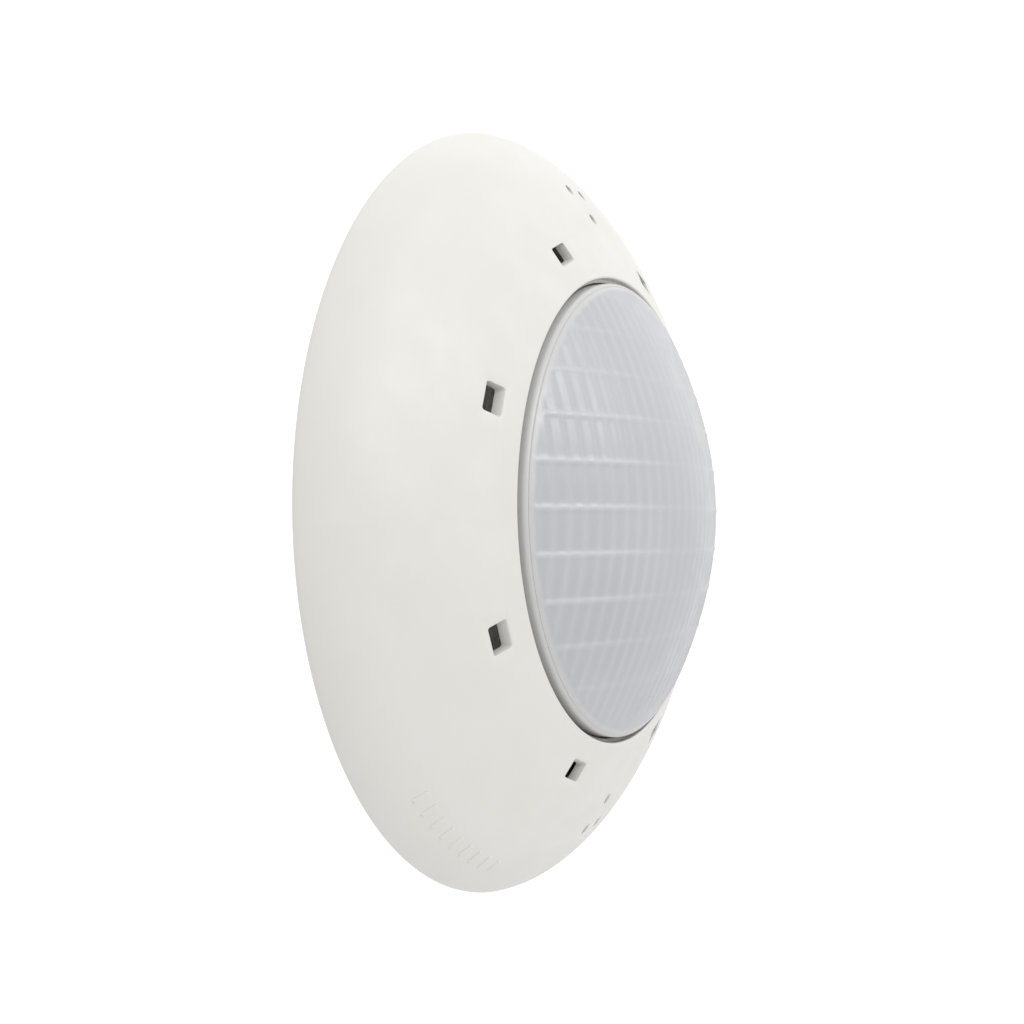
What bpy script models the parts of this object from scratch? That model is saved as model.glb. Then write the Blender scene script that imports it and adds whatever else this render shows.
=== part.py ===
"""Surface-mounted underwater pool light, for a flat concrete or liner pool wall.

Frame: the wall is the plane Y = 0, the light looks along -Y, and +Z is up. The origin is on
the optical axis, in the wall plane. Lengths are in metres. Most pieces are turned about the
Y axis, so the code speaks of a radius r from that axis and a depth d in front of the wall.

Three bodies part company when the light is serviced. The front ring pulls off its four
push-fit pegs, the sealed lamp lifts out of the wall plate's cradle, and the nut of the
cable gland turns on its thread.
"""

import math

import bmesh
import bpy
from mathutils import Matrix, Vector
from mathutils.geometry import interpolate_bezier

# ---------------------------------------------------------------- driving dimensions

GAP = 0.0003                    # clearance between pieces that touch

RING_R = 0.1400                 # outer radius of the front ring
RING_BACK = 0.0004              # the ring's rim stops just short of the wall
RING_EDGE_H = 0.0016            # straight part of the rim
RING_WALL = 0.0026              # shell thickness
LIP_R = 0.0838                  # radius of the round opening
LIP_DEPTH = 0.0436              # the lip's front edge
LIP_ROUND = 0.0008              # radius on the lip's edge
RIM_HANDLE = 0.0195             # length of the dome curve's handle at the rim
RIM_LEAN = math.radians(16.6)   # its lean inwards from the light's axis
LIP_HANDLE = 0.0154             # length of the handle at the lip
LIP_SLOPE = math.radians(21.7)  # the dome's slope there, from the wall plane

LEDGE_R = 0.0825                # a ledge inside the lip goes round the lens
LEDGE_DEPTH = 0.0406
RIB_OUTER = 0.0880              # its foot presses on the lamp's band

SLOT_COUNT = 8
SLOT_R = 0.0954
SLOT_ACROSS = 0.0096            # tangential size of a water slot
SLOT_RADIAL = 0.0064
VENT_R = 0.0019                 # radius of a small vent hole
VENT_INNER = 0.1082             # one vent at this height above and below the axis
VENT_OUTER = 0.1188             # two at this one
VENT_SHIFT = 0.0045             # both groups stand a little towards +X
VENT_SPREAD = 0.0056            # half the distance between those two

PLATE_R = 0.1310
PLATE_T = 0.0030
PLATE_RIM_H = 0.0080
PLATE_RIM_W = 0.0030
CABLE_HOLE_R = 0.0140
HUB_R = 0.0200                  # thicker centre of the plate
HUB_TOP = 0.0050
RECESS_R = 0.0185               # recess in the plate's back for the grommet's flange
RECESS_D = 0.0020
GROMMET_BORE = 0.0050
GROMMET_FLANGE_R = 0.0175
SCREW_CIRCLE = 0.1180           # radius of the circle of wall screws
SCREW_BOSS_R = 0.0070
SCREW_HOLE_R = 0.0025
WALL_SCREW = {"head_r": 0.0042, "head_h": 0.0028, "shank_r": 0.0020, "length": 0.0198}
PEG_CIRCLE = 0.1100             # radius of the circle of push-fit pegs
PEG_R = 0.0030
PEG_TIP = 0.0085
PEG_SHOULDER = 0.0212
PEG_ROOT_R = 0.0045
SOCKET_TOP = 0.0180
SOCKET_R = 0.0072
SOCKET_BORE = 0.0060
GROMMET_TOP = 0.0198            # front of the four ring grommets
CRADLE_INNER = 0.0840
CRADLE_STEP = 0.0910
CRADLE_OUTER = 0.0945
CRADLE_WIDTH = 0.0120
CRADLE_SEAT = 0.0274
CRADLE_TOP = 0.0320

FLANGE_R = 0.0890               # the lamp's flange, a 178 mm lamp
FLOOR_D = 0.0140                # outside of the lamp housing's floor
HOUSING_FLANGE_BACK = 0.0290
HOUSING_FLANGE_FRONT = 0.0316
HOUSING_WALL = 0.0030
HOUSING_FOOT_R = 0.0715         # the floor's round corner starts here
HOUSING_CORNER = 0.0045
HOUSING_TOP_R = 0.0795          # outside of the wall at the flange
HOUSING_MOUTH_R = 0.0768
FIN_COUNT = 12
FIN_MIDDLE_R = 0.0440
FIN_LENGTH = 0.0400
FIN_WIDTH = 0.0022
FIN_HEIGHT = 0.0028
GASKET_INNER = 0.0800
GASKET_OUTER = 0.0860
LENS_FLANGE_BACK = 0.0334
LENS_FLANGE_FRONT = 0.0361
LENS_R = 0.0819                 # outside of the lens's skirt
LENS_WALL = 0.0030
LENS_EDGE_R = 0.0800            # the dome starts here
LENS_EDGE_D = 0.0460
LENS_RISE = 0.0252              # from there to the apex
BEAD_D = 0.0438                 # middle of the bead between dome and skirt
BEAD_R = 0.0012
BAND_R = 0.0906
BAND_BACK = 0.0277
BAND_FRONT = 0.0374
BAND_SHEET = 0.0010             # the lips' thickness
BAND_WALL = 0.0012
BAND_LIP_R = 0.0852
BAND_OPENING = math.radians(4)
LUG_SIZE = (0.0024, 0.0058, 0.0082)
LUG_OUT = 0.0046                # half the distance between the two lugs' middles
LUG_Z = 0.0942
LUG_FACE = 0.0061               # clamp screw and nut bear here, on either side
CLAMP_D = 0.0308                # the clamp screw's axis
CLAMP_Z = 0.0945
CLAMP_HOLE_R = 0.0018
CLAMP_SCREW = {"head_r": 0.0027, "head_h": 0.0020, "shank_r": 0.0015, "length": 0.0165}
CLAMP_NUT_R = 0.0030
CLAMP_NUT_T = 0.0022

PILLAR_CIRCLE = 0.0600
PILLAR_R = 0.0038
PILOT_R = 0.0015                # for the board screws, in the pillars
PILOT_FLOOR = 0.0215
SCREW_WAY_R = 0.0018            # clearance holes in the spreader and the board
BOARD_SCREW = {"head_r": 0.0028, "head_h": 0.0018, "shank_r": 0.0012, "length": 0.0110}
SPREADER_BACK = 0.0310
SPREADER_T = 0.0025
SPREADER_R = 0.0720
BOARD_T = 0.0016
BOARD_R = 0.0700
LEAD_HOLE_R = 0.0065            # centre hole that the two leads pass through
LED_RINGS = ((4, 0.0200), (8, 0.0450))   # how many LEDs on each circle, and its radius
DRIVER_BACK = 0.0190            # back of the driver board
DRIVER_SIZE = (0.0660, 0.0460)
DRIVER_FEET = (0.0257, 0.0164)  # x and z of the four feet it stands on
DRIVER_FOOT_R = 0.0028

GLAND_D = 0.0190                # depth of the cable gland's axis
GLAND_HEX = 0.0075              # radius over the corners of its hexagons
GLAND_FACE = 0.0810             # the housing's flat boss, below the axis
BOSS_R = 0.0088
BOSS_ROOT = 0.0735
WAY_R = 0.0053                  # the gland's way through the housing
THREAD_R = 0.0052
GLAND_TOP = 0.0690              # inner end of the gland, below the axis
GLAND_SHOULDER = 0.0865
GLAND_END_R = 0.0060
GLAND_END = 0.0925
COLLAR_END = 0.0860
NUT_R = 0.0082                  # the nut is a twelve-sided cap
NUT_BORE = 0.0066
NUT_TOP = 0.0870
NUT_FLOOR = 0.0968
NUT_END = 0.0985
NUT_WAY_R = 0.0049              # the cable's hole in its end
CABLE_R = 0.0046                # the gland takes an 8 to 9 mm cable

DIAGONALS = [math.radians(45 + 90 * k) for k in range(4)]
CROSS = [math.radians(90 * k) for k in range(4)]
SLOT_ANGLES = [math.radians(22.5 + 360 / SLOT_COUNT * k) for k in range(SLOT_COUNT)]

SPREADER_FRONT = SPREADER_BACK + SPREADER_T
BOARD_BACK = SPREADER_FRONT + GAP
BOARD_FRONT = BOARD_BACK + BOARD_T
DRIVER_FRONT = DRIVER_BACK + BOARD_T


# ---------------------------------------------------------------- scene and helpers

def clear_scene():
    for item in list(bpy.data.objects):
        bpy.data.objects.remove(item, do_unlink=True)


def material(name, colour, roughness, metallic=0.0):
    mat = bpy.data.materials.new(name)
    mat.use_nodes = True
    shader = mat.node_tree.nodes["Principled BSDF"]
    shader.inputs["Base Color"].default_value = (*colour, 1.0)
    shader.inputs["Roughness"].default_value = roughness
    shader.inputs["Metallic"].default_value = metallic
    mat.diffuse_color = (*colour, 1.0)
    return mat


def empty(name, location=(0, 0, 0), parent=None):
    item = bpy.data.objects.new(name, None)
    item.location = location
    item.parent = parent
    bpy.context.scene.collection.objects.link(item)
    return item


def place(r, angle, d):
    """The point at radius r, at an angle from +X towards +Z, d in front of the wall."""
    return Vector((r * math.cos(angle), -d, r * math.sin(angle)))


def add_object(name, bm, mat=None, parent=None, origin=None):
    """Turn a bmesh in world coordinates into an object whose origin is at `origin`."""
    origin = Vector(origin or (0, 0, 0))
    bmesh.ops.recalc_face_normals(bm, faces=bm.faces)
    bmesh.ops.translate(bm, verts=bm.verts, vec=-origin)
    mesh = bpy.data.meshes.new(name)
    bm.to_mesh(mesh)
    bm.free()
    mesh.shade_smooth()
    mesh.set_sharp_from_angle(angle=math.radians(32))
    item = bpy.data.objects.new(name, mesh)
    if parent is not None:
        item.parent = parent
        item.location = origin - parent.location
    else:
        item.location = origin
    if mat is not None:
        mesh.materials.append(mat)
    bpy.context.scene.collection.objects.link(item)
    return item


def along(axis, base):
    """A matrix that takes +Z to the given direction and the origin to `base`."""
    turn = Vector((0, 0, 1)).rotation_difference(Vector(axis)).to_matrix().to_4x4()
    return Matrix.Translation(Vector(base)) @ turn


FORWARD = along((0, -1, 0), (0, 0, 0))     # radius and depth to the light's own axis


def lathe(bm, profile, segments, matrix=FORWARD, closed=False, start=0.0, sweep=None):
    """Spin (r, height) points about +Z, then apply the matrix.

    An open profile starts and ends on the axis. A closed one goes round a ring's section.
    With a sweep under a full turn, the two end faces are filled.
    """
    full = sweep is None
    steps = segments if full else segments + 1
    angle = [start + (math.tau if full else sweep) * k / segments for k in range(steps)]
    rows = []
    for r, height in profile:
        if r < 1e-6:
            rows.append([bm.verts.new(matrix @ Vector((0, 0, height)))])
            continue
        ring = [Vector((r * math.cos(a), r * math.sin(a), height)) for a in angle]
        rows.append([bm.verts.new(matrix @ point) for point in ring])
    pairs = list(zip(rows, rows[1:]))
    if closed:
        pairs.append((rows[-1], rows[0]))
    for near, far in pairs:
        for k in range(segments):
            after = (k + 1) % steps
            quad = [near[k % len(near)], near[after % len(near)],
                    far[after % len(far)], far[k % len(far)]]
            corners = list(dict.fromkeys(quad))
            if len(corners) > 2:
                bm.faces.new(corners)
    if not full:
        bm.faces.new([row[0] for row in rows])
        bm.faces.new([row[-1] for row in rows])


def turned(name, profile, mat, parent, segments, closed=False, **extra):
    bm = bmesh.new()
    lathe(bm, profile, segments, closed=closed, **extra)
    return add_object(name, bm, mat, parent)


def cylinder_profile(radius, low, high, bevel=0.0):
    if not bevel:
        return [(0, low), (radius, low), (radius, high), (0, high)]
    return [(0, low), (radius, low), (radius, high - bevel), (radius - bevel, high),
            (0, high)]


def arc(centre, radius, start, end, steps):
    """Points on an arc in the (r, d) plane, from one angle to another, in radians."""
    turns = [start + (end - start) * k / steps for k in range(steps + 1)]
    return [(centre[0] + radius * math.cos(t), centre[1] + radius * math.sin(t))
            for t in turns]


def block(bm, size, centre, angle=0.0):
    """A box of (radial, depth, tangential) size, turned about the light's axis."""
    corners = bmesh.ops.create_cube(bm, size=1.0)["verts"]
    matrix = Matrix.Translation(Vector(centre)) @ Matrix.Rotation(-angle, 4, "Y")
    bmesh.ops.transform(bm, matrix=matrix @ Matrix.Diagonal((*size, 1.0)), verts=corners)


def blocks(name, radius, radial, across, low, high, angles):
    """One cutter or adder that holds a box at each of the angles."""
    bm = bmesh.new()
    for angle in angles:
        centre = place(radius, angle, (low + high) / 2)
        block(bm, (radial, high - low, across), centre, angle)
    return add_object(name, bm)


def rods(name, points, radius, low, high, segments, bore=0.0):
    """One cutter or adder that holds a cylinder, or a tube, along the axis at each point."""
    section = cylinder_profile(radius, low, high)
    if bore:
        section = [(bore, low), (radius, low), (radius, high), (bore, high)]
    bm = bmesh.new()
    for x, z in points:
        lathe(bm, section, segments, along((0, -1, 0), (x, 0, z)), closed=bore > 0)
    return add_object(name, bm)


def on_circle(radius, angles):
    return [(radius * math.cos(a), radius * math.sin(a)) for a in angles]


def combine(item, operation, *others):
    """Leave a Boolean modifier on the item for each other object, and hide that object."""
    for other in others:
        step = item.modifiers.new(other.name, "BOOLEAN")
        step.operation = operation
        step.solver = "EXACT"
        step.object = other
        other.hide_render = True
        other.display_type = "WIRE"
    return item


def prism(bm, outline, height, matrix):
    """Raise a flat outline by a height along +Z, then apply the matrix."""
    face = bm.faces.new([bm.verts.new(point) for point in outline])
    raised = bmesh.ops.extrude_face_region(bm, geom=[face])["geom"]
    top = [part for part in raised if isinstance(part, bmesh.types.BMVert)]
    bmesh.ops.translate(bm, verts=top, vec=(0, 0, height))
    bmesh.ops.transform(bm, matrix=matrix, verts=bm.verts)


def wedge(bm, section, width, angle):
    """A section in the (r, d) plane, extruded by a width square to it, at an angle."""
    local = bmesh.new()
    prism(local, [Vector((r, -d, 0)) for r, d in section], width,
          Matrix.Translation((0, 0, -width / 2)))
    bmesh.ops.transform(local, matrix=Matrix.Rotation(-angle, 4, "Y"), verts=local.verts)
    mesh = bpy.data.meshes.new("wedge")
    local.to_mesh(mesh)
    local.free()
    bm.from_mesh(mesh)
    bpy.data.meshes.remove(mesh)


def screw(name, mat, parent, base, axis, head_r, head_h, shank_r, length):
    """A pan-head screw. `base` is under its head and `axis` points from there to the head."""
    bm = bmesh.new()
    crown = arc((head_r - 0.4 * head_h, 0.6 * head_h), 0.4 * head_h, 0, math.pi / 2, 1)
    tip = [(0, -length), (shank_r, 1.5 * shank_r - length)]
    lathe(bm, [*tip, (shank_r, 0), (head_r, 0), *crown, (0, head_h)], 10,
          along(axis, base))
    item = add_object(name, bm, mat, parent)
    cross = bmesh.new()
    arm = 0.55 * head_r
    half = 0.13 * head_r
    outline = []
    for k in range(4):
        quarter = Matrix.Rotation(k * math.pi / 2, 4, "Z")
        for x, y in ((half, half), (arm, half), (arm, -half)):
            outline.append(quarter @ Vector((x, -y, 0.45 * head_h)))
    prism(cross, outline, head_h, along(axis, base))
    return combine(item, "DIFFERENCE", add_object(name + "_recess", cross))


# ---------------------------------------------------------------- front ring

def dome_curve(steps):
    """The dome's outer line in (r, d), from the rim to the lip, as one Bezier curve."""
    rim = Vector((RING_R, RING_EDGE_H, 0))
    lip = Vector((LIP_R + LIP_ROUND / 2, LIP_DEPTH, 0))
    rim_way = Vector((-math.sin(RIM_LEAN), math.cos(RIM_LEAN), 0))
    lip_way = Vector((math.cos(LIP_SLOPE), -math.sin(LIP_SLOPE), 0))
    points = interpolate_bezier(rim, rim + rim_way * RIM_HANDLE,
                                lip + lip_way * LIP_HANDLE, lip, steps)
    return [(p.x, p.y) for p in points]


def inward(points, distance):
    """The same line moved inwards, square to itself, by a shell's thickness."""
    moved = []
    for k, (r, d) in enumerate(points):
        before = points[max(k - 1, 0)]
        after = points[min(k + 1, len(points) - 1)]
        run = Vector((after[0] - before[0], after[1] - before[1])).normalized()
        moved.append((r + run.y * -distance, d + run.x * distance))
    return moved


def depth_at(line, r):
    """Depth of a line of (r, d) points, listed outwards from the axis, at a radius."""
    for (r0, d0), (r1, d1) in zip(line, line[1:]):
        if r0 <= r <= r1:
            return d0 + (d1 - d0) * (r - r0) / (r1 - r0)
    raise ValueError("the radius is off the line")


def ring_inside(outer):
    """The shell's inner line from the lip to the rim, with the ledge that holds the lamp."""
    line = [p for p in inward(outer, RING_WALL)[::-2] if p[1] > 2 * RING_WALL]
    foot = BAND_FRONT + GAP
    ledge = [(LEDGE_R, LEDGE_DEPTH), (LEDGE_R, foot), (RIB_OUTER, foot),
             (RIB_OUTER, depth_at(line, RIB_OUTER))]
    beyond = [p for p in line if p[0] > RIB_OUTER + 0.001]
    return [*ledge, *beyond]


def make_pegs(inside):
    """Four pegs, each on a thicker root whose top follows the shell from within."""
    top = 0.030
    section = [(0, PEG_TIP), (PEG_R - 0.0006, PEG_TIP), (PEG_R, PEG_TIP + 0.0008),
               (PEG_R, PEG_SHOULDER), (PEG_ROOT_R, PEG_SHOULDER), (PEG_ROOT_R, top),
               (0, top)]
    bm = bmesh.new()
    for x, z in on_circle(PEG_CIRCLE, DIAGONALS):
        lathe(bm, section, 12, along((0, -1, 0), (x, 0, z)))
    for vert in bm.verts:
        if -vert.co.y > top - GAP:
            sunk = depth_at(inside, math.hypot(vert.co.x, vert.co.z)) + RING_WALL / 2
            vert.co.y = -sunk
    return add_object("ring_pegs", bm)


def make_front_ring(mat, parent):
    outer = dome_curve(12)
    rounded = arc((LIP_R + LIP_ROUND, LIP_DEPTH - LIP_ROUND), LIP_ROUND,
                  math.radians(120), math.pi, 1)
    inside = ring_inside(outer)
    profile = [(RING_R, RING_BACK), *outer[:-1], *rounded, (LIP_R, LEDGE_DEPTH),
               *inside, (RING_R - RING_WALL, RING_BACK)]
    ring = turned("front_ring", profile, mat, parent, 64, closed=True)
    slots = blocks("ring_slots", SLOT_R, SLOT_RADIAL, SLOT_ACROSS, 0.030, 0.050,
                   SLOT_ANGLES)
    up = [(VENT_SHIFT, VENT_INNER), (VENT_SHIFT + VENT_SPREAD, VENT_OUTER),
          (VENT_SHIFT - VENT_SPREAD, VENT_OUTER)]
    vents = rods("ring_vents", up + [(x, -z) for x, z in up], VENT_R, 0.015, 0.045, 10)
    combine(ring, "UNION", make_pegs(inside))
    return combine(ring, "DIFFERENCE", slots, vents)


# ---------------------------------------------------------------- wall side

def make_wall_plate(mat, parent):
    rim = PLATE_R - PLATE_RIM_W
    profile = [(RECESS_R, 0), (RECESS_R, RECESS_D), (CABLE_HOLE_R, RECESS_D),
               (CABLE_HOLE_R, HUB_TOP), (HUB_R, HUB_TOP), (HUB_R, PLATE_T),
               (rim, PLATE_T), (rim, PLATE_RIM_H), (PLATE_R, PLATE_RIM_H), (PLATE_R, 0)]
    plate = turned("wall_plate", profile, mat, parent, 48, closed=True)
    sunk = PLATE_T - 0.001
    cradle = bmesh.new()
    for angle in DIAGONALS:
        section = [(CRADLE_INNER, sunk), (CRADLE_OUTER, sunk), (CRADLE_OUTER, CRADLE_TOP),
                   (CRADLE_STEP, CRADLE_TOP), (CRADLE_STEP, CRADLE_SEAT),
                   (CRADLE_INNER, CRADLE_SEAT)]
        wedge(cradle, section, CRADLE_WIDTH, angle)
    sockets = rods("plate_sockets", on_circle(PEG_CIRCLE, DIAGONALS), SOCKET_R, sunk,
                   SOCKET_TOP, 14, bore=SOCKET_BORE)
    bosses = rods("plate_screw_bosses", on_circle(SCREW_CIRCLE, CROSS), SCREW_BOSS_R,
                  sunk, HUB_TOP, 12)
    holes = rods("plate_screw_holes", on_circle(SCREW_CIRCLE, CROSS), SCREW_HOLE_R,
                 -0.002, 0.010, 10)
    combine(plate, "UNION", add_object("plate_cradle", cradle), sockets, bosses)
    return combine(plate, "DIFFERENCE", holes)


def make_wall_screws(mat, parent):
    for number, angle in enumerate(CROSS, 1):
        base = place(SCREW_CIRCLE, angle, HUB_TOP + GAP)
        screw(f"wall_screw_{number}", mat, parent, base, (0, -1, 0), **WALL_SCREW)


def make_cable_grommet(mat, parent):
    neck = CABLE_HOLE_R - GAP
    cap = HUB_TOP + GAP
    profile = [(GROMMET_BORE, GAP), (GROMMET_FLANGE_R, GAP),
               (GROMMET_FLANGE_R, RECESS_D - GAP), (neck, RECESS_D - GAP), (neck, cap),
               (GROMMET_FLANGE_R, cap), (GROMMET_FLANGE_R - 0.0010, 0.0073),
               (GROMMET_BORE + 0.0010, 0.0085), (GROMMET_BORE, 0.0075)]
    turned("cable_grommet", profile, mat, parent, 20, closed=True)


def make_ring_grommets(mat, parent):
    bore = PEG_R + GAP
    sleeve = SOCKET_BORE - GAP
    for number, angle in enumerate(DIAGONALS, 1):
        bm = bmesh.new()
        lathe(bm, [(bore, PLATE_T + GAP), (sleeve, PLATE_T + GAP),
                   (sleeve, SOCKET_TOP + GAP), (SOCKET_R, SOCKET_TOP + GAP),
                   (SOCKET_R - 0.0006, GROMMET_TOP), (bore + 0.0008, GROMMET_TOP),
                   (bore, GROMMET_TOP - 0.0008)],
              12, along((0, -1, 0), place(PEG_CIRCLE, angle, 0)), closed=True)
        add_object(f"ring_grommet_{number}", bm, mat, parent)


# ---------------------------------------------------------------- lamp

def dome_depth(r):
    """Depth of the lens's outer face at a radius: a slightly pointed cap."""
    soft = 0.06
    power = 0.88
    share = (r / LENS_EDGE_R) ** 2
    top = (1 + soft) ** power - soft ** power
    return LENS_EDGE_D + LENS_RISE * (1 - ((share + soft) ** power - soft ** power) / top)


def make_lens(mat, parent):
    steps = 7
    radii = [LENS_EDGE_R * (1 - k / steps) for k in range(steps + 1)]
    outer = [(r, dome_depth(r)) for r in radii]
    inner_r = LENS_EDGE_R - LENS_WALL
    radii = [inner_r * k / 5 for k in range(6)]
    inner = [(r, dome_depth(r) - LENS_WALL * 1.12) for r in radii]
    bead = arc((LENS_R - BEAD_R, BEAD_D), BEAD_R, 0, math.radians(70), 2)
    profile = [(FLANGE_R, LENS_FLANGE_BACK), (FLANGE_R, LENS_FLANGE_FRONT),
               (LENS_R, LENS_FLANGE_FRONT), *bead, *outer[:-1], (0, outer[-1][1])]
    back = [*inner, (inner_r, LENS_FLANGE_BACK)]
    turned("lamp_lens", [*back, *profile], mat, parent, 44)


def make_lens_gasket(mat, parent):
    low = HOUSING_FLANGE_FRONT + GAP
    high = LENS_FLANGE_BACK - GAP
    profile = [(GASKET_INNER, low), (GASKET_OUTER, low), (GASKET_OUTER, high),
               (GASKET_INNER, high)]
    turned("lens_gasket", profile, mat, parent, 40, closed=True)


def make_clamp_band(mat, parent):
    """A C-section band round both flanges, open at the top between two screw lugs."""
    inside = BAND_R - BAND_WALL
    back = BAND_BACK + BAND_SHEET
    front = BAND_FRONT - BAND_SHEET
    profile = [(BAND_R, BAND_BACK), (BAND_R, BAND_FRONT), (BAND_LIP_R, BAND_FRONT),
               (BAND_LIP_R, front), (inside, front), (inside, back), (BAND_LIP_R, back),
               (BAND_LIP_R, BAND_BACK)]
    bm = bmesh.new()
    turn = FORWARD @ Matrix.Rotation(-math.pi / 2 + BAND_OPENING / 2, 4, "Z")
    lathe(bm, profile, 48, turn, closed=True, sweep=math.tau - BAND_OPENING)
    band = add_object("clamp_band", bm, mat, parent)
    lugs = bmesh.new()
    for side in (-1, 1):
        block(lugs, LUG_SIZE, (side * LUG_OUT, -CLAMP_D, LUG_Z))
    hole = bmesh.new()
    lathe(hole, cylinder_profile(CLAMP_HOLE_R, -0.012, 0.012), 12,
          along((1, 0, 0), (0, -CLAMP_D, CLAMP_Z)))
    combine(band, "UNION", add_object("band_lugs", lugs))
    return combine(band, "DIFFERENCE", add_object("band_screw_hole", hole))


def make_clamp_screw(mat, parent):
    screw("clamp_screw", mat, parent, (LUG_FACE, -CLAMP_D, CLAMP_Z), (1, 0, 0),
          **CLAMP_SCREW)
    bm = bmesh.new()
    lathe(bm, [(CLAMP_HOLE_R, 0), (CLAMP_NUT_R, 0), (CLAMP_NUT_R, CLAMP_NUT_T),
               (CLAMP_HOLE_R, CLAMP_NUT_T)], 6,
          along((-1, 0, 0), (-LUG_FACE, -CLAMP_D, CLAMP_Z)), closed=True)
    add_object("clamp_nut", bm, mat, parent)


def make_lamp_housing(mat, parent):
    shoulder = -0.3             # the arcs stop where the sloping wall goes on
    middle = FLOOR_D + HOUSING_CORNER
    outer = arc((HOUSING_FOOT_R, middle), HOUSING_CORNER, -math.pi / 2, shoulder, 2)
    inner = arc((HOUSING_FOOT_R - 0.0005, middle), HOUSING_CORNER - HOUSING_WALL,
                shoulder, -math.pi / 2, 1)
    profile = [(0, FLOOR_D), *outer, (HOUSING_TOP_R, HOUSING_FLANGE_BACK),
               (FLANGE_R, HOUSING_FLANGE_BACK), (FLANGE_R, HOUSING_FLANGE_FRONT),
               (HOUSING_MOUTH_R, HOUSING_FLANGE_FRONT), *inner,
               (0, FLOOR_D + HOUSING_WALL)]
    housing = turned("lamp_housing", profile, mat, parent, 44)
    inside = FLOOR_D + HOUSING_WALL - 0.001
    fins = blocks("housing_fins", FIN_MIDDLE_R, FIN_LENGTH, FIN_WIDTH,
                  FLOOR_D - FIN_HEIGHT, FLOOR_D + 0.001,
                  [math.tau * k / FIN_COUNT for k in range(FIN_COUNT)])
    pillars = rods("housing_pillars", on_circle(PILLAR_CIRCLE, DIAGONALS), PILLAR_R,
                   inside, SPREADER_BACK - GAP, 10)
    foot_x, foot_z = DRIVER_FEET
    corners = [(x, z) for x in (-foot_x, foot_x) for z in (-foot_z, foot_z)]
    feet = rods("housing_board_feet", corners, DRIVER_FOOT_R, inside, DRIVER_BACK - GAP, 8)
    pilots = rods("housing_pilots", on_circle(PILLAR_CIRCLE, DIAGONALS), PILOT_R,
                  PILOT_FLOOR, SPREADER_BACK + 0.002, 8)
    boss = bmesh.new()
    lathe(boss, cylinder_profile(BOSS_R, BOSS_ROOT, GLAND_FACE), 20,
          along((0, 0, -1), (0, -GLAND_D - 0.0007, 0)))
    trim = bmesh.new()
    block(trim, (0.03, 0.006, 0.02), (0, -FLOOR_D + 0.003 + 0.0001, -0.082))
    way = bmesh.new()
    lathe(way, cylinder_profile(WAY_R, 0.066, 0.085), 16,
          along((0, 0, -1), (0, -GLAND_D, 0)))
    combine(housing, "UNION", fins, pillars, feet, add_object("housing_boss", boss))
    return combine(housing, "DIFFERENCE", pilots, add_object("housing_way", way),
                   add_object("housing_trim", trim))


def make_gland(mat, seal_mat, lamp, nut_body):
    way = (0, -GLAND_D, 0)
    bm = bmesh.new()
    tail_r = WAY_R - GAP
    face = GLAND_FACE + GAP
    lathe(bm, [(CABLE_R, GLAND_TOP), (tail_r, GLAND_TOP), (tail_r, face),
               (THREAD_R, face), (THREAD_R, GLAND_SHOULDER),
               (GLAND_END_R, GLAND_SHOULDER), (GLAND_END_R, GLAND_END),
               (CABLE_R, GLAND_END)], 14, along((0, 0, -1), way), closed=True)
    body = add_object("gland_body", bm, mat, lamp)
    collar = bmesh.new()
    inner = THREAD_R - GAP
    lathe(collar, [(inner, face), (GLAND_HEX, face), (GLAND_HEX, COLLAR_END),
                   (inner, COLLAR_END)], 6, along((0, 0, -1), way), closed=True)
    combine(body, "UNION", add_object("gland_hex", collar))
    bm = bmesh.new()
    seal_end = NUT_FLOOR - GAP
    lathe(bm, [(CABLE_R, GLAND_END + GAP), (GLAND_END_R, GLAND_END + GAP),
               (GLAND_END_R, seal_end - 0.0010), (GLAND_END_R - 0.0006, seal_end),
               (CABLE_R, seal_end)], 14, along((0, 0, -1), way), closed=True)
    add_object("gland_seal", bm, seal_mat, lamp)
    bm = bmesh.new()
    lathe(bm, [(NUT_BORE, NUT_TOP), (NUT_R, NUT_TOP), (NUT_R, NUT_FLOOR),
               (NUT_R - 0.0012, NUT_END), (NUT_WAY_R, NUT_END), (NUT_WAY_R, NUT_FLOOR),
               (NUT_BORE, NUT_FLOOR)], 12, along((0, 0, -1), way), closed=True)
    add_object("gland_nut", bm, mat, nut_body, origin=nut_body.location)


# ---------------------------------------------------------------- inside the lamp

def make_heat_spreader(mat, parent):
    profile = [(LEAD_HOLE_R, SPREADER_BACK), (SPREADER_R, SPREADER_BACK),
               (SPREADER_R, SPREADER_FRONT), (LEAD_HOLE_R, SPREADER_FRONT)]
    plate = turned("heat_spreader", profile, mat, parent, 36, closed=True)
    holes = rods("spreader_holes", on_circle(PILLAR_CIRCLE, DIAGONALS), SCREW_WAY_R,
                 SPREADER_BACK - 0.002, SPREADER_FRONT + 0.002, 8)
    return combine(plate, "DIFFERENCE", holes)


def make_led_board(mat, parent):
    profile = [(LEAD_HOLE_R, BOARD_BACK), (BOARD_R, BOARD_BACK), (BOARD_R, BOARD_FRONT),
               (LEAD_HOLE_R, BOARD_FRONT)]
    board = turned("led_board", profile, mat, parent, 36, closed=True)
    holes = rods("board_holes", on_circle(PILLAR_CIRCLE, DIAGONALS), SCREW_WAY_R,
                 BOARD_BACK - 0.002, BOARD_FRONT + 0.002, 8)
    return combine(board, "DIFFERENCE", holes)


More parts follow.
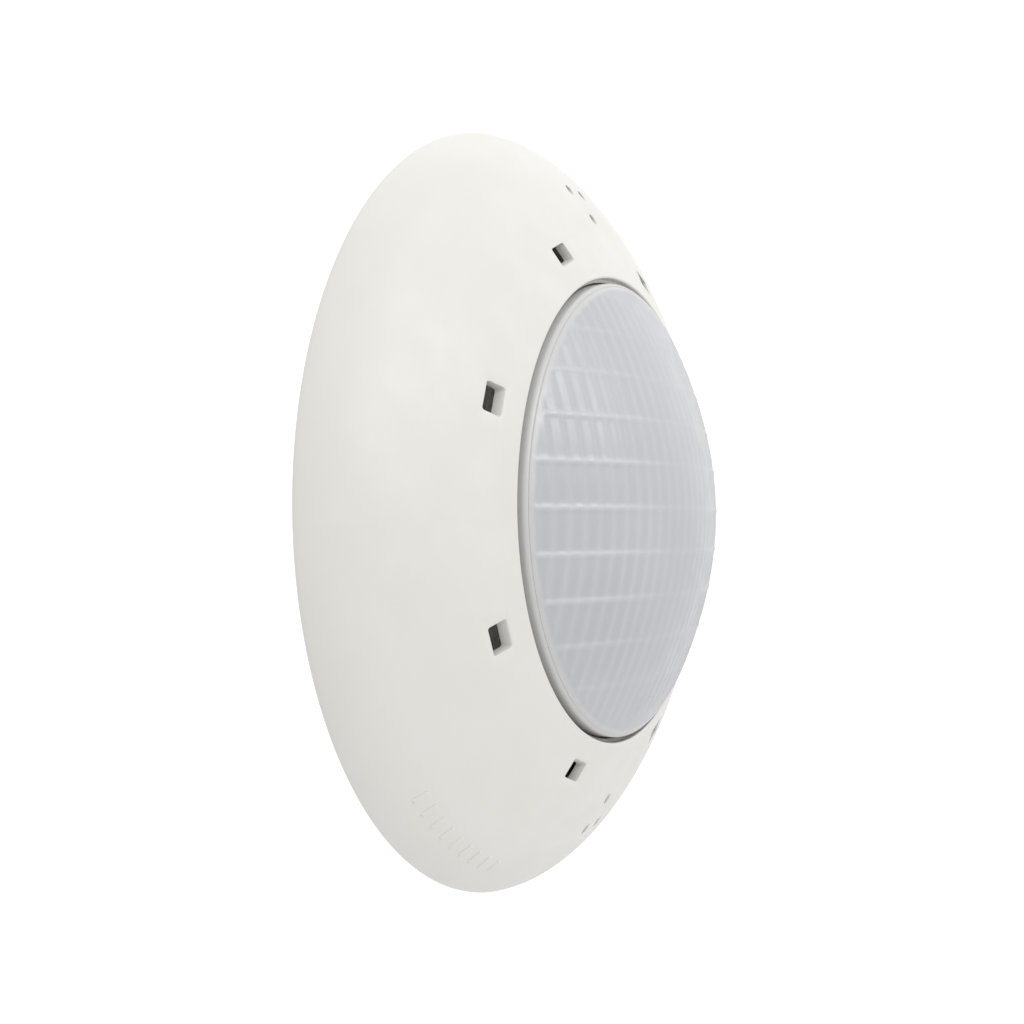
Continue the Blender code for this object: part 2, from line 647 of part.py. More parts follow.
def make_leds(mat, parent):
    """Each LED is a flat package under a low moulded dome."""
    number = 0
    base = BOARD_FRONT + GAP
    for count, radius in LED_RINGS:
        for k in range(count):
            number += 1
            angle = math.tau * (k + 0.5) / count
            bm = bmesh.new()
            spot = place(radius, angle, 0)
            lathe(bm, [(0, base), (0.0030, base), (0.0030, base + 0.0008),
                       (0.0020, base + 0.0010), (0.0013, base + 0.0023),
                       (0, base + 0.0027)], 8, along((0, -1, 0), spot))
            add_object(f"led_{number:02d}", bm, mat, parent)


def make_board_screws(mat, parent):
    for number, angle in enumerate(DIAGONALS, 1):
        spot = place(PILLAR_CIRCLE, angle, BOARD_FRONT + GAP)
        screw(f"board_screw_{number}", mat, parent, spot, (0, -1, 0), **BOARD_SCREW)


def make_driver_board(mat, parent):
    bm = bmesh.new()
    size_x, size_z = DRIVER_SIZE
    block(bm, (size_x, BOARD_T, size_z), (0, -(DRIVER_BACK + BOARD_T / 2), 0))
    board = add_object("driver_board", bm, mat, parent)
    bevel = board.modifiers.new("corners", "BEVEL")
    bevel.width = 0.0006
    bevel.segments = 1
    return board


def standing(name, mat, parent, x, z, profile, segments=12):
    """A turned component that stands on the driver board."""
    bm = bmesh.new()
    base = Vector((x, -(DRIVER_FRONT + GAP), z))
    lathe(bm, profile, segments, along((0, -1, 0), base))
    return add_object(name, bm, mat, parent)


def chip(name, mat, parent, x, z, size_x, size_z, height):
    bm = bmesh.new()
    block(bm, (size_x, height, size_z), (x, -(DRIVER_FRONT + GAP + height / 2), z))
    item = add_object(name, bm, mat, parent)
    bevel = item.modifiers.new("edges", "BEVEL")
    bevel.width = 0.0003
    bevel.segments = 1
    return item


def make_driver_parts(mats, parent):
    can = [(0, 0), (0.0040, 0), (0.0040, 0.0006), (0.0037, 0.0010), (0.0040, 0.0014),
           (0.0040, 0.0082), (0.0035, 0.0086), (0, 0.0084)]
    standing("capacitor_1", mats["capacitor"], parent, 0.021, 0.012, can)
    standing("capacitor_2", mats["capacitor"], parent, 0.021, -0.001, can)
    drum = [(0, 0), (0.0060, 0), (0.0060, 0.0012), (0.0050, 0.0018), (0.0050, 0.0052),
            (0.0060, 0.0058), (0.0060, 0.0070), (0, 0.0070)]
    standing("inductor", mats["ferrite"], parent, 0.004, 0.009, drum, 14)
    chip("rectifier", mats["epoxy"], parent, -0.012, 0.012, 0.008, 0.008, 0.0028)
    chip("driver_chip", mats["epoxy"], parent, 0.004, -0.009, 0.007, 0.006, 0.0016)
    block_item = chip("terminal_block", mats["terminal"], parent, -0.0245, -0.004, 0.009,
                      0.016, 0.0085)
    entries = rods("terminal_entries", [(-0.0245, -0.008), (-0.0245, 0.0)], 0.0017,
                   DRIVER_FRONT + 0.005, DRIVER_FRONT + 0.012, 10)
    combine(block_item, "DIFFERENCE", entries)


def make_lead(name, mat, parent, x, z, hole_x):
    """A wire from the driver board, through the boards' centre hole, to the LED board."""
    low = DRIVER_FRONT + GAP
    high = BOARD_FRONT + 0.0022
    route = [Vector((x, -low, z)), Vector((x, -low - 0.0030, z)),
             Vector((hole_x, -low - 0.0040, 0)), Vector((hole_x, -high, 0))]
    points = interpolate_bezier(*route, 10)
    curve = bpy.data.curves.new(name, "CURVE")
    curve.dimensions = "3D"
    curve.bevel_depth = 0.0007
    curve.bevel_resolution = 1
    curve.use_fill_caps = True
    spline = curve.splines.new("POLY")
    spline.points.add(len(points) - 1)
    for spot, point in zip(spline.points, points):
        spot.co = (*point, 1.0)
    curve.materials.append(mat)
    item = bpy.data.objects.new(name, curve)
    item.parent = parent
    bpy.context.scene.collection.objects.link(item)


# ---------------------------------------------------------------- assembly

def main():
    clear_scene()
    shell = material("ring_abs", (0.86, 0.85, 0.82), 0.42)
    plate = material("plate_abs", (0.80, 0.80, 0.78), 0.50)
    clear = material("frosted_lens", (0.68, 0.69, 0.73), 0.35)
    casing = material("housing_pbt", (0.74, 0.74, 0.72), 0.50)
    steel = material("stainless_steel", (0.62, 0.62, 0.61), 0.32, 1.0)
    rubber = material("epdm_rubber", (0.035, 0.035, 0.038), 0.75)
    silicone = material("silicone", (0.62, 0.63, 0.64), 0.60)
    nylon = material("gland_nylon", (0.10, 0.10, 0.11), 0.50)
    aluminium = material("aluminium", (0.70, 0.71, 0.72), 0.40, 1.0)
    mask = material("board_white", (0.82, 0.83, 0.80), 0.45)
    led = material("led_dome", (0.88, 0.80, 0.40), 0.25)
    circuit = material("board_green", (0.03, 0.16, 0.07), 0.45)
    inner = {
        "capacitor": material("capacitor_sleeve", (0.03, 0.04, 0.07), 0.35),
        "ferrite": material("ferrite", (0.07, 0.07, 0.07), 0.60),
        "epoxy": material("epoxy_black", (0.02, 0.02, 0.02), 0.50),
        "terminal": material("terminal_green", (0.05, 0.30, 0.12), 0.45),
    }
    red = material("lead_red", (0.45, 0.02, 0.02), 0.45)
    black = material("lead_black", (0.02, 0.02, 0.02), 0.45)

    wall = empty("wall_mount_body")
    front = empty("front_slide_joint", parent=wall)
    lamp = empty("lamp_slide_joint", parent=wall)
    nut = empty("gland_nut_joint", (0, -GLAND_D, -0.0920), parent=lamp)

    make_wall_plate(plate, wall)
    make_wall_screws(steel, wall)
    make_cable_grommet(rubber, wall)
    make_ring_grommets(rubber, wall)
    make_front_ring(shell, front)
    make_lens(clear, lamp)
    make_lens_gasket(silicone, lamp)
    make_clamp_band(steel, lamp)
    make_clamp_screw(steel, lamp)
    make_lamp_housing(casing, lamp)
    make_gland(nylon, rubber, lamp, nut)
    make_heat_spreader(aluminium, lamp)
    make_led_board(mask, lamp)
    make_leds(led, lamp)
    make_board_screws(steel, lamp)
    make_driver_board(circuit, lamp)
    make_driver_parts(inner, lamp)
    make_lead("lead_red", red, lamp, -0.0095, -0.0045, 0.0014)
    make_lead("lead_black", black, lamp, -0.0130, -0.0080, -0.0014)


main()
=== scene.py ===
from bisect import bisect_left
from math import atan2, ceil, cos, degrees, exp, hypot, pi, radians, sin, tan, tau

import bmesh
import bpy
from mathutils import Matrix, Vector
from mathutils.geometry import interpolate_bezier


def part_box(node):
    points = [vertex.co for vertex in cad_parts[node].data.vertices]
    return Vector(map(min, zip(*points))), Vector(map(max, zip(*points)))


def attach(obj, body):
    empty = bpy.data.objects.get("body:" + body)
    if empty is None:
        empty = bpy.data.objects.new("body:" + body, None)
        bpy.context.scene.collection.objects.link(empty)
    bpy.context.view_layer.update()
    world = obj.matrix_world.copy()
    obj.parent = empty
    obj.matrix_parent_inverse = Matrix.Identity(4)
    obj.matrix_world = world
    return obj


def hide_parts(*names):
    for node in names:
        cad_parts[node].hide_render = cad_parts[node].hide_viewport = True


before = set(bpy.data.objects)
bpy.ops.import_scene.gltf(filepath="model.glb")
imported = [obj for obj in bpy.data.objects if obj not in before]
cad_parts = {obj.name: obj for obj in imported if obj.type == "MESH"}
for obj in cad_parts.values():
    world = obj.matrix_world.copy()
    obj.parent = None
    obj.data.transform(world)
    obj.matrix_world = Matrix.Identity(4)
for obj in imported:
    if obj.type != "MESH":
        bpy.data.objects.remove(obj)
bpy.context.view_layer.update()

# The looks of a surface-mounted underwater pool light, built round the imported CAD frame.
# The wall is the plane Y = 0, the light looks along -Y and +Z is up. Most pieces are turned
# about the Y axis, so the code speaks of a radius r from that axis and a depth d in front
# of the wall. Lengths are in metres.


# ---------------------------------------------------------------- places, from the frame

ring_low, ring_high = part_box("front_ring")
lens_low, lens_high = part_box("lamp_lens")
band_low, band_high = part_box("clamp_band")

RING_R = ring_high.x            # outer radius of the front ring
RING_BACK = -ring_high.y        # its rim stops just short of the wall
LIP_DEPTH = -ring_low.y         # the front edge of its opening
FLANGE_R = lens_high.x          # flange of the lens and of the housing
APEX_DEPTH = -lens_low.y        # the lens's furthest point from the wall
PLATE_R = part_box("wall_plate")[1].x

EDGE_H = 0.0016                 # straight part of the ring's rim
SHELL = 0.0026                  # the ring's wall
LIP_R = 0.0838                  # radius of the round opening
LIP_FILLET = 0.0007
LIP_LAND = 0.0004               # the dome's line ends this far outside the opening
RIM_HANDLE = 0.0195             # the dome's line is one Bezier curve: its handles' lengths
LIP_HANDLE = 0.0154
RIM_LEAN = radians(16.6)   # lean of the rim's handle, from the light's axis
LIP_SLOPE = radians(21.7)  # slope of the lip's handle, from the wall plane
LEDGE_R = 0.0825                # a ledge inside the lip goes round the lens
LEDGE_D = 0.0406
RIB_OUTER = 0.0880              # its foot stops just short of the lamp's band
RIB_FOOT = -band_low.y + 0.0003

SLOT_R = 0.0954                 # the eight water slots
SLOT_HALF = (0.0048, 0.0032)    # half their size, across and outwards
SLOT_COLLAR = 0.0011            # how far its wall goes on inside the shell
SLOT_CORNER = 0.0008
VENT_R = 0.0019                 # the six vent holes, in two groups of three
VENT_INNER = 0.1082
VENT_OUTER = 0.1188
VENT_SHIFT = 0.0045
VENT_SPREAD = 0.0056
PEG_CIRCLE = 0.1100             # the four pegs inside the ring
PEG_R = 0.0030
PEG_ROOT_R = 0.0045
PEG_TIP = 0.0085
PEG_SHOULDER = 0.0212
SCREW_CIRCLE = 0.1180

LENS_R = 0.0819                 # outside of the lens's skirt
LENS_EDGE_R = 0.0800
LENS_EDGE_D = 0.0460
LENS_RISE = APEX_DEPTH - LENS_EDGE_D
LENS_WALL = 0.0030
PATTERN_R = 0.0800              # the moulded pattern ends here
PATTERN_TURN = radians(-2.2)   # how far the lens is turned on its axis
FLUTE_PITCH = 0.0057
RIDGE_PITCH = 0.0149
SIDE_ZONE = (0.012, 0.058)      # the pattern deepens sideways from here to there
FADE_ZONE = (0.018, 0.060)      # the ridges fade up and down from here to there

GLAND_D = 0.0190                # depth of the cable gland's axis
GLAND_FACE = 0.0810             # the housing's flat boss, below the axis
LUG_FACE = 0.0061               # the band's lugs: half the distance over them
LUG_AXIS = (-0.0308, 0.0945)    # y and z of the clamp screw's axis
CABLE_HOLE_R = 0.0140           # the hole in the middle of the wall plate
DIAGONALS = [45 + 90 * k for k in range(4)]
CROSS = [90 * k for k in range(4)]


# ---------------------------------------------------------------- mesh helpers

def place(r, angle, d):
    """The point at radius r, at an angle from +X towards +Z, d in front of the wall."""
    return Vector((r * cos(angle), -d, r * sin(angle)))


def along(axis, base):
    """A matrix that takes +Z to the given direction and the origin to `base`."""
    turn = Vector((0, 0, 1)).rotation_difference(Vector(axis)).to_matrix().to_4x4()
    return Matrix.Translation(Vector(base)) @ turn


def around(circle, angles):
    """Matrices that take +Z forward, at angles round a circle, in degrees."""
    return [along((0, -1, 0), place(circle, radians(angle), 0)) for angle in angles]


FORWARD = along((0, -1, 0), (0, 0, 0))
DOWN = along((0, 0, -1), (0, -GLAND_D, 0))


def arc(centre, radius, start, end, steps):
    """Points on an arc in the (r, d) plane, from one angle to another, in degrees."""
    points = []
    for k in range(steps + 1):
        turn = radians(start + (end - start) * k / steps)
        points.append((centre[0] + radius * cos(turn),
                       centre[1] + radius * sin(turn)))
    return points


def softened(profile, radius, steps=3, closed=True, keep=()):
    """The same profile with its corners rounded, apart from the ones in `keep`."""
    out = []
    count = len(profile)
    for k, corner in enumerate(profile):
        ends = not closed and k in (0, count - 1)
        if ends or k in keep or corner[0] < 1e-6:
            out.append(corner)
            continue
        here = Vector(corner)
        before = Vector(profile[k - 1]) - here
        after = Vector(profile[(k + 1) % count]) - here
        if min(before.length, after.length) < 1e-7:
            continue
        turn = before.angle(after)
        if turn > radians(165):
            out.append(corner)
            continue
        reach = min(radius / tan(turn / 2), 0.45 * before.length, 0.45 * after.length)
        start = here + before.normalized() * reach
        end = here + after.normalized() * reach
        for step in range(steps + 1):
            t = step / steps
            point = start * (1 - t) ** 2 + here * (2 * t * (1 - t)) + end * t ** 2
            out.append((point.x, point.y))
    return out


def lathe(bm, profile, segments, matrix=FORWARD, start=0.0, sweep=None, ripple=None):
    """Spin (r, height) points about +Z, then apply the matrix.

    The profile's last point joins its first, unless both are on the axis.
    `ripple(r, height, angle)` may return a changed radius. With a sweep under a full turn,
    the two end faces are filled.
    """
    full = sweep is None
    steps = segments if full else segments + 1
    angles = [start + (tau if full else sweep) * k / segments for k in range(steps)]
    rows = []
    for r, height in profile:
        if r < 1e-6:
            rows.append([bm.verts.new(matrix @ Vector((0, 0, height)))])
            continue
        row = []
        for angle in angles:
            radius = ripple(r, height, angle) if ripple else r
            point = Vector((radius * cos(angle), radius * sin(angle), height))
            row.append(bm.verts.new(matrix @ point))
        rows.append(row)
    for near, far in zip(rows, rows[1:] + rows[:1]):
        for k in range(segments):
            after = (k + 1) % steps
            quad = [near[k % len(near)], near[after % len(near)],
                    far[after % len(far)], far[k % len(far)]]
            corners = list(dict.fromkeys(quad))
            if len(corners) > 2:
                bm.faces.new(corners)
    if not full:
        bm.faces.new([row[0] for row in rows])
        bm.faces.new([row[-1] for row in rows])


def turned(profile, segments, matrices=(FORWARD,), soft=0.0, steps=3, **options):
    """A new bmesh of a profile, softened if asked, and spun at each of the matrices."""
    bm = bmesh.new()
    outline = softened(profile, soft, steps) if soft else profile
    for matrix in matrices:
        lathe(bm, outline, segments, matrix, **options)
    return bm


def rod(radius, low, high):
    """The profile of a solid rod."""
    return [(0, low), (radius, low), (radius, high), (0, high)]


def bridge(bm, loops):
    """Faces from each loop of vertices to the next one."""
    for near, far in zip(loops, loops[1:]):
        count = len(near)
        for k in range(count):
            after = (k + 1) % count
            bm.faces.new((near[k], near[after], far[after], far[k]))


def prism(bm, outline, low, high, matrix):
    """A flat outline of (x, y) points raised from low to high."""
    ends = [[bm.verts.new(matrix @ Vector((x, y, height))) for x, y in outline]
            for height in (low, high)]
    bridge(bm, ends)
    for end in ends:
        bm.faces.new(end)


def box_outline(width, height, corner=0.0, steps=3):
    """A rectangle about the origin, with rounded corners."""
    a = width / 2 - corner
    b = height / 2 - corner
    if not corner:
        return [(a, b), (-a, b), (-a, -b), (a, -b)]
    points = []
    for k, (x, y) in enumerate(((a, b), (-a, b), (-a, -b), (a, -b))):
        points += arc((x, y), corner, 90 * k, 90 * k + 90, steps)
    return points


def radial(angle, r=0.0):
    """A matrix for a piece at an angle: its x outwards, y across, z along the axis."""
    outwards = Vector((cos(angle), 0, sin(angle)))
    across = Vector((-sin(angle), 0, cos(angle)))
    forward = outwards.cross(across)
    turn = Matrix((outwards, across, forward)).transposed().to_4x4()
    return Matrix.Translation(outwards * r) @ turn


def loose(name, bm):
    """A bmesh turned into a plain object, for Boolean steps."""
    bmesh.ops.recalc_face_normals(bm, faces=bm.faces)
    mesh = bpy.data.meshes.new(name)
    bm.to_mesh(mesh)
    bm.free()
    item = bpy.data.objects.new(name, mesh)
    bpy.context.scene.collection.objects.link(item)
    return item


def piece(node, bm, mat, body, name="", add=(), cut=(), bevel=0.0, sharp=32):
    """A CAD node's finished piece: united, cut and bevelled."""
    item = loose(name or f"{node}_fine", bm)
    for tools, operation in ((add, "UNION"), (cut, "DIFFERENCE")):
        for k, tool in enumerate(tools):
            step = item.modifiers.new(f"{operation}_{k}", "BOOLEAN")
            step.operation = operation
            step.solver = "EXACT"
            step.object = loose("tool", tool)
    if bevel:
        edge = item.modifiers.new("edges", "BEVEL")
        edge.width = bevel
        edge.segments = 2
        edge.limit_method = "ANGLE"
        edge.angle_limit = radians(sharp)
        edge.use_clamp_overlap = True
    if item.modifiers:
        tools = [step.object for step in item.modifiers if step.type == "BOOLEAN"]
        graph = bpy.context.evaluated_depsgraph_get()
        mesh = bpy.data.meshes.new_from_object(item.evaluated_get(graph))
        item.modifiers.clear()
        item.data = mesh
        for tool in tools:
            bpy.data.objects.remove(tool)
    item.data.materials.clear()
    item.data.materials.append(mat)
    item.data.shade_smooth()
    item.data.set_sharp_from_angle(angle=radians(sharp))
    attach(item, body)
    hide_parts(node)


def carried(mat, *names):
    """CAD nodes that keep their own shape and get a better finish."""
    for name in names:
        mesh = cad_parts[name].data
        mesh.materials.clear()
        mesh.materials.append(mat)


# ---------------------------------------------------------------- materials

def fill(tree, node, values):
    """Set a node's sockets, by number or name, or join them to other nodes' outputs."""
    for key, value in values.items():
        socket = node.inputs[key.replace("_", " ") if isinstance(key, str) else key]
        if isinstance(value, bpy.types.NodeSocket):
            tree.links.new(value, socket)
        else:
            socket.default_value = value


def make_node(tree, kind, *values, **settings):
    """A shader node. Lower-case settings are its properties, all others its sockets."""
    node = tree.nodes.new(f"ShaderNode{kind}")
    for name in [name for name in settings if name.islower()]:
        setattr(node, name, settings.pop(name))
    fill(tree, node, dict(enumerate(values)) | settings)
    return node


class Finish:
    """One node-based material and the few kinds of node that the finishes here share."""

    def __init__(self, name, roughness, metallic=0.0, **sockets):
        self.mat = bpy.data.materials.new(name)
        self.mat.use_nodes = True
        self.tree = self.mat.node_tree
        self.surface(Roughness=roughness, Metallic=metallic, **sockets)
        self.place = self.node("TexCoord").outputs["Object"]

    def surface(self, **sockets):
        fill(self.tree, self.tree.nodes["Principled BSDF"], sockets)

    def node(self, kind, *values, **settings):
        return make_node(self.tree, kind, *values, **settings)

    def math(self, operation, *values):
        return self.node("Math", *values, operation=operation).outputs[0]

    def noise(self, scale, detail, vector=None):
        node = self.node("TexNoise", Scale=scale, Detail=detail, Vector=vector or self.place)
        return node.outputs["Fac"]

    def ramp(self, value, low, high, start=0.3, end=0.7):
        """The value's stretch from start to end, taken to low and high."""
        node = self.node("MapRange", interpolation_type="SMOOTHSTEP", Value=value,
                         From_Min=start, From_Max=end, To_Min=low, To_Max=high)
        return node.outputs["Result"]

    def mix(self, factor, first, second):
        node = self.node("Mix", data_type="RGBA", Factor=factor)
        for key, colour in ((6, first), (7, second)):
            value = (*colour, 1.0) if isinstance(colour, tuple) else colour
            fill(self.tree, node, {key: value})
        return node.outputs[2]

    def split(self):
        """x, y, z and the radius from the light's axis."""
        x, y, z = self.node("SeparateXYZ", self.place).outputs
        r = self.math("SQRT", self.math("ADD", self.math("MULTIPLY", x, x),
                                        self.math("MULTIPLY", z, z)))
        return x, y, z, r

    def polar(self, *scales):
        """A vector that runs round the light's axis, outwards and forward, each scaled."""
        x, y, z, r = self.split()
        turn = self.math("ARCTAN2", z, x)
        parts = [self.math("MULTIPLY", value, scale)
                 for value, scale in zip((turn, r, y), scales)]
        return self.node("CombineXYZ", *parts).outputs[0]

    def colour(self, output):
        self.surface(Base_Color=output)

    def cloudy(self, scale, detail, dark, light, start=0.3, end=0.7):
        """A cloudy mix of two colours."""
        return self.mix(self.ramp(self.noise(scale, detail), 0, 1, start, end), dark, light)

    def polish(self, scale, detail, rough):
        """Uneven polish, between the two values of `rough`."""
        self.surface(Roughness=self.ramp(self.noise(scale, detail), *rough))

    def bump(self, height, depth):
        self.surface(Normal=self.node("Bump", Distance=depth, Height=height).outputs[0])


def moulded(name, light, dark, rough, grain=0.00003, grain_scale=1400, clouds=14, **sockets):
    """Moulded plastic: a faint cloudy tone, a fine eroded grain and uneven polish."""
    look = Finish(name, rough[0], **sockets)
    look.colour(look.cloudy(clouds, 3, dark, light))
    look.polish(70, 3, rough)
    look.bump(look.noise(grain_scale, 2), grain)
    return look.mat


def metal(name, light, dark, rough, lines=(3, 5200, 5200)):
    """Metal with fine lines that run round the light's axis, and faint stains."""
    look = Finish(name, rough[0], 1.0)
    scratch = look.noise(1.0, 3, look.polar(*lines))
    look.colour(look.cloudy(55, 4, dark, light))
    look.surface(Roughness=look.ramp(scratch, *rough))
    look.bump(scratch, 0.000012)
    return look.mat


def soft_rubber(name, light, dark, rough):
    """Rubber: matt, with a bloom of paler dust and a pebbly grain."""
    look = Finish(name, rough[0], Specular_IOR_Level=0.35)
    look.colour(look.cloudy(160, 5, dark, light, 0.45, 0.8))
    look.polish(90, 3, rough)
    look.bump(look.noise(2600, 3), 0.00004)
    return look.mat


def circuit(name, resin, copper):
    """A circuit board: solder resist over copper, seen as slightly paler tracks."""
    look = Finish(name, 0.4, Coat_Weight=0.25, Coat_Roughness=0.2)
    flat = look.node("Mapping", Rotation=(pi / 2, 0, 0), Vector=look.place).outputs[0]
    black = (0, 0, 0, 1)
    cells = look.node("TexBrick", Scale=140, Mortar_Size=0.09, Color1=black, Color2=black,
                      Mortar=(1, 1, 1, 1), Vector=flat)
    tracks = cells.outputs["Color"]
    grain = look.ramp(look.noise(420, 3), 0.0, 0.5)
    look.colour(look.mix(look.math("MAXIMUM", tracks, grain), resin, copper))
    look.polish(120, 2, (0.35, 0.50))
    look.bump(tracks, 0.00003)
    return look.mat


def make_ring_finish():
    """Warm off-white moulded ABS with faint flow marks, and painted shade low down inside
    the lip.
    """
    look = Finish("ring_abs_finish", 0.42, IOR=1.5)
    base = look.cloudy(9, 3, (0.712, 0.696, 0.656), (0.733, 0.718, 0.680))
    flow = look.ramp(look.noise(1.0, 3, look.polar(5, 60, 60)), 0, 1, 0.35, 0.8)
    shell = look.mix(flow, base, (0.740, 0.727, 0.692))
    # Painted shade: the lip's inner wall is darkened low down and fades out upwards,
    # standing in for the shade in the gap under the lens.
    _, _, z, r = look.split()
    groove = look.ramp(r, 1, 0, LIP_R, LIP_R + 0.0003)
    low = look.ramp(z, 1, 0, -0.90 * LIP_R, -0.25 * LIP_R)
    look.colour(look.mix(look.math("MULTIPLY", groove, low), shell, (0.360, 0.352, 0.330)))
    look.polish(60, 4, (0.38, 0.50))
    fine = look.noise(2200, 2)
    wave = look.noise(45, 2)
    look.bump(look.math("ADD", fine, look.math("MULTIPLY", wave, 3.0)), 0.00002)
    return look.mat


def make_lens_finish():
    """Frosted polycarbonate: milky, cool grey, softly glossy."""
    look = Finish("frosted_lens_finish", 0.36, IOR=1.585, Transmission_Weight=0.12)
    frost = look.cloudy(16, 3, (0.530, 0.532, 0.566), (0.566, 0.570, 0.595))
    x, _, z, r = look.split()
    level = look.math("ADD", look.math("MULTIPLY", z, cos(PATTERN_TURN)),
                      look.math("MULTIPLY", x, -sin(PATTERN_TURN)))
    offset = look.math("PINGPONG", level, RIDGE_PITCH / 2)
    ridge = look.ramp(offset, 1, 0, 0.0003, 0.0017)
    side = look.ramp(look.math("ABSOLUTE", x), 0.15, 1, *SIDE_ZONE)
    middle = look.ramp(look.math("ABSOLUTE", z), 1, 0.35, *FADE_ZONE)
    thick = look.math("MULTIPLY", ridge, look.math("MULTIPLY", side, middle))
    frost = look.mix(thick, frost, (0.622, 0.628, 0.653))
    border = look.ramp(r, 0, 1, PATTERN_R - 0.0014, PATTERN_R)
    look.colour(look.mix(border, frost, (0.630, 0.630, 0.625)))
    look.polish(110, 3, (0.33, 0.44))
    look.bump(look.noise(3200, 2), 0.00002)
    return look.mat


RING_FINISH = make_ring_finish()
LENS_FINISH = make_lens_finish()
PLATE_FINISH = moulded("plate_abs_finish", (0.79, 0.785, 0.765), (0.735, 0.73, 0.71),
                       (0.42, 0.58))
CASING_FINISH = moulded("lamp_casing_finish", (0.71, 0.71, 0.69), (0.64, 0.64, 0.625),
                        (0.44, 0.60), grain=0.00005, grain_scale=1100)
STEEL_FINISH = metal("stainless_steel_finish", (0.66, 0.655, 0.64), (0.54, 0.535, 0.52),
                     (0.22, 0.42))
RUBBER_FINISH = soft_rubber("black_rubber_finish", (0.060, 0.060, 0.062),
                            (0.022, 0.022, 0.024), (0.62, 0.85))
SILICONE_FINISH = soft_rubber("silicone_finish", (0.66, 0.67, 0.68), (0.56, 0.57, 0.59),
                              (0.45, 0.65))
NYLON_FINISH = moulded("gland_nylon_finish", (0.085, 0.086, 0.092), (0.052, 0.053, 0.058),
                       (0.38, 0.55), grain=0.00004, grain_scale=1800)


# ---------------------------------------------------------------- the front ring

def dome_line(steps=900):
    """The dome's outer line from the rim to the lip, as (r, d) points."""
    rim = Vector((RING_R, EDGE_H, 0))
    lip = Vector((LIP_R + LIP_LAND, LIP_DEPTH, 0))
    rim_way = Vector((-sin(RIM_LEAN), cos(RIM_LEAN), 0))
    lip_way = Vector((cos(LIP_SLOPE), -sin(LIP_SLOPE), 0))
    points = interpolate_bezier(rim, rim + rim_way * RIM_HANDLE,
                                lip + lip_way * LIP_HANDLE, lip, steps)
    return [(p.x, p.y) for p in points]


def inward(points, distance):
    """The same line moved inwards, square to itself."""
    moved = []
    for k, (r, d) in enumerate(points):
        before = points[max(k - 1, 0)]
        after = points[min(k + 1, len(points) - 1)]
        run = Vector((after[0] - before[0], after[1] - before[1])).normalized()
        moved.append((r - run.y * distance, d + run.x * distance))
    return moved


class Line:
    """A line of (r, d) points that can be asked for its depth at a radius."""

    def __init__(self, points):
        ordered = sorted(points)
        self.r = [p[0] for p in ordered]
        self.d = [p[1] for p in ordered]

    def depth(self, r):
        k = min(max(bisect_left(self.r, r), 1), len(self.r) - 1)
        r0, r1 = self.r[k - 1], self.r[k]
        share = (r - r0) / (r1 - r0)
        return self.d[k - 1] + (self.d[k] - self.d[k - 1]) * share

    def radius(self, d):
        """The radius where the line, which falls outwards, has a depth."""
        low, high = self.r[0], self.r[-1]
        for _ in range(40):
            middle = (low + high) / 2
            if self.depth(middle) > d:
                low = middle
            else:
                high = middle
        return (low + high) / 2

    def outward(self, r):
        """The unit vector square to the line, as (outwards, forward)."""
        step = 0.0002
        slope = (self.depth(r + step) - self.depth(r - step)) / (2 * step)
        return Vector((-slope, 1)).normalized()


OUTER = Line(dome_line())
INNER = Line(inward(dome_line(), SHELL))
COLUMNS = 360                   # columns of the ring's grid, one to a degree
SLOT_CELLS = (17, 28)           # columns of the first slot's block; the next is 45 on
VENT_CELLS = 4                  # columns of a vent's block, and of a peg's
PEG_CELLS = 8


def spaced(start, length, count):
    """Evenly spaced radii."""
    return [start + length * k / count for k in range(count + 1)]


LIP_ROWS = [0.0853, 0.0862, 0.0873, 0.0885, 0.0897]
SLOT_ROWS = spaced(0.0909, 0.0100, 6)
VENT_IN_ROWS = spaced(0.1053, 0.0064, 4)
VENT_OUT_ROWS = spaced(0.1155, 0.0064, 4)
PEG_ROWS = (0.10385, 0.1155)
FACE_ROWS = [*SLOT_ROWS, 0.1024, PEG_ROWS[0], *VENT_IN_ROWS, 0.11297, 0.11423,
             *VENT_OUT_ROWS, 0.1235, 0.1252]


def falling(line, start_r, end_d, step):
    """Points on a line from a radius outwards to a depth, evenly spaced in depth."""
    start_d = line.depth(start_r)
    count = max(1, round((start_d - end_d) / step))
    depths = [start_d + (end_d - start_d) * k / count for k in range(1, count + 1)]
    return [(line.radius(d), d) for d in depths]


def face_points(line, first):
    return [(r, line.depth(r)) for r in [*first, *FACE_ROWS]]


def grid(bm, line, holes):
    """Rows of vertices round the axis. Cells inside the holes' blocks are left open."""
    rows = []
    for r, d in line:
        rows.append([bm.verts.new(place(r, tau * k / COLUMNS, d))
                     for k in range(COLUMNS)])
    radii = [r for r, d in line]
    open_cells = set()
    edges = []
    for low_r, high_r, low_k, high_k in holes:
        i0 = min(range(len(radii)), key=lambda i: abs(radii[i] - low_r))
        i1 = min(range(len(radii)), key=lambda i: abs(radii[i] - high_r))
        for i in range(i0, i1):
            for k in range(low_k, high_k):
                open_cells.add((i, k % COLUMNS))
        steps = [(i0, k) for k in range(low_k, high_k)]
        steps += [(i, high_k) for i in range(i0, i1)]
        steps += [(i1, k) for k in range(high_k, low_k, -1)]
        steps += [(i, low_k) for i in range(i1, i0, -1)]
        edges.append([rows[i][k % COLUMNS] for i, k in steps])
    for i in range(len(rows) - 1):
        for k in range(COLUMNS):
            if (i, k) in open_cells:
                continue
            after = (k + 1) % COLUMNS
            bm.faces.new((rows[i][k], rows[i][after], rows[i + 1][after], rows[i + 1][k]))
    return rows, edges


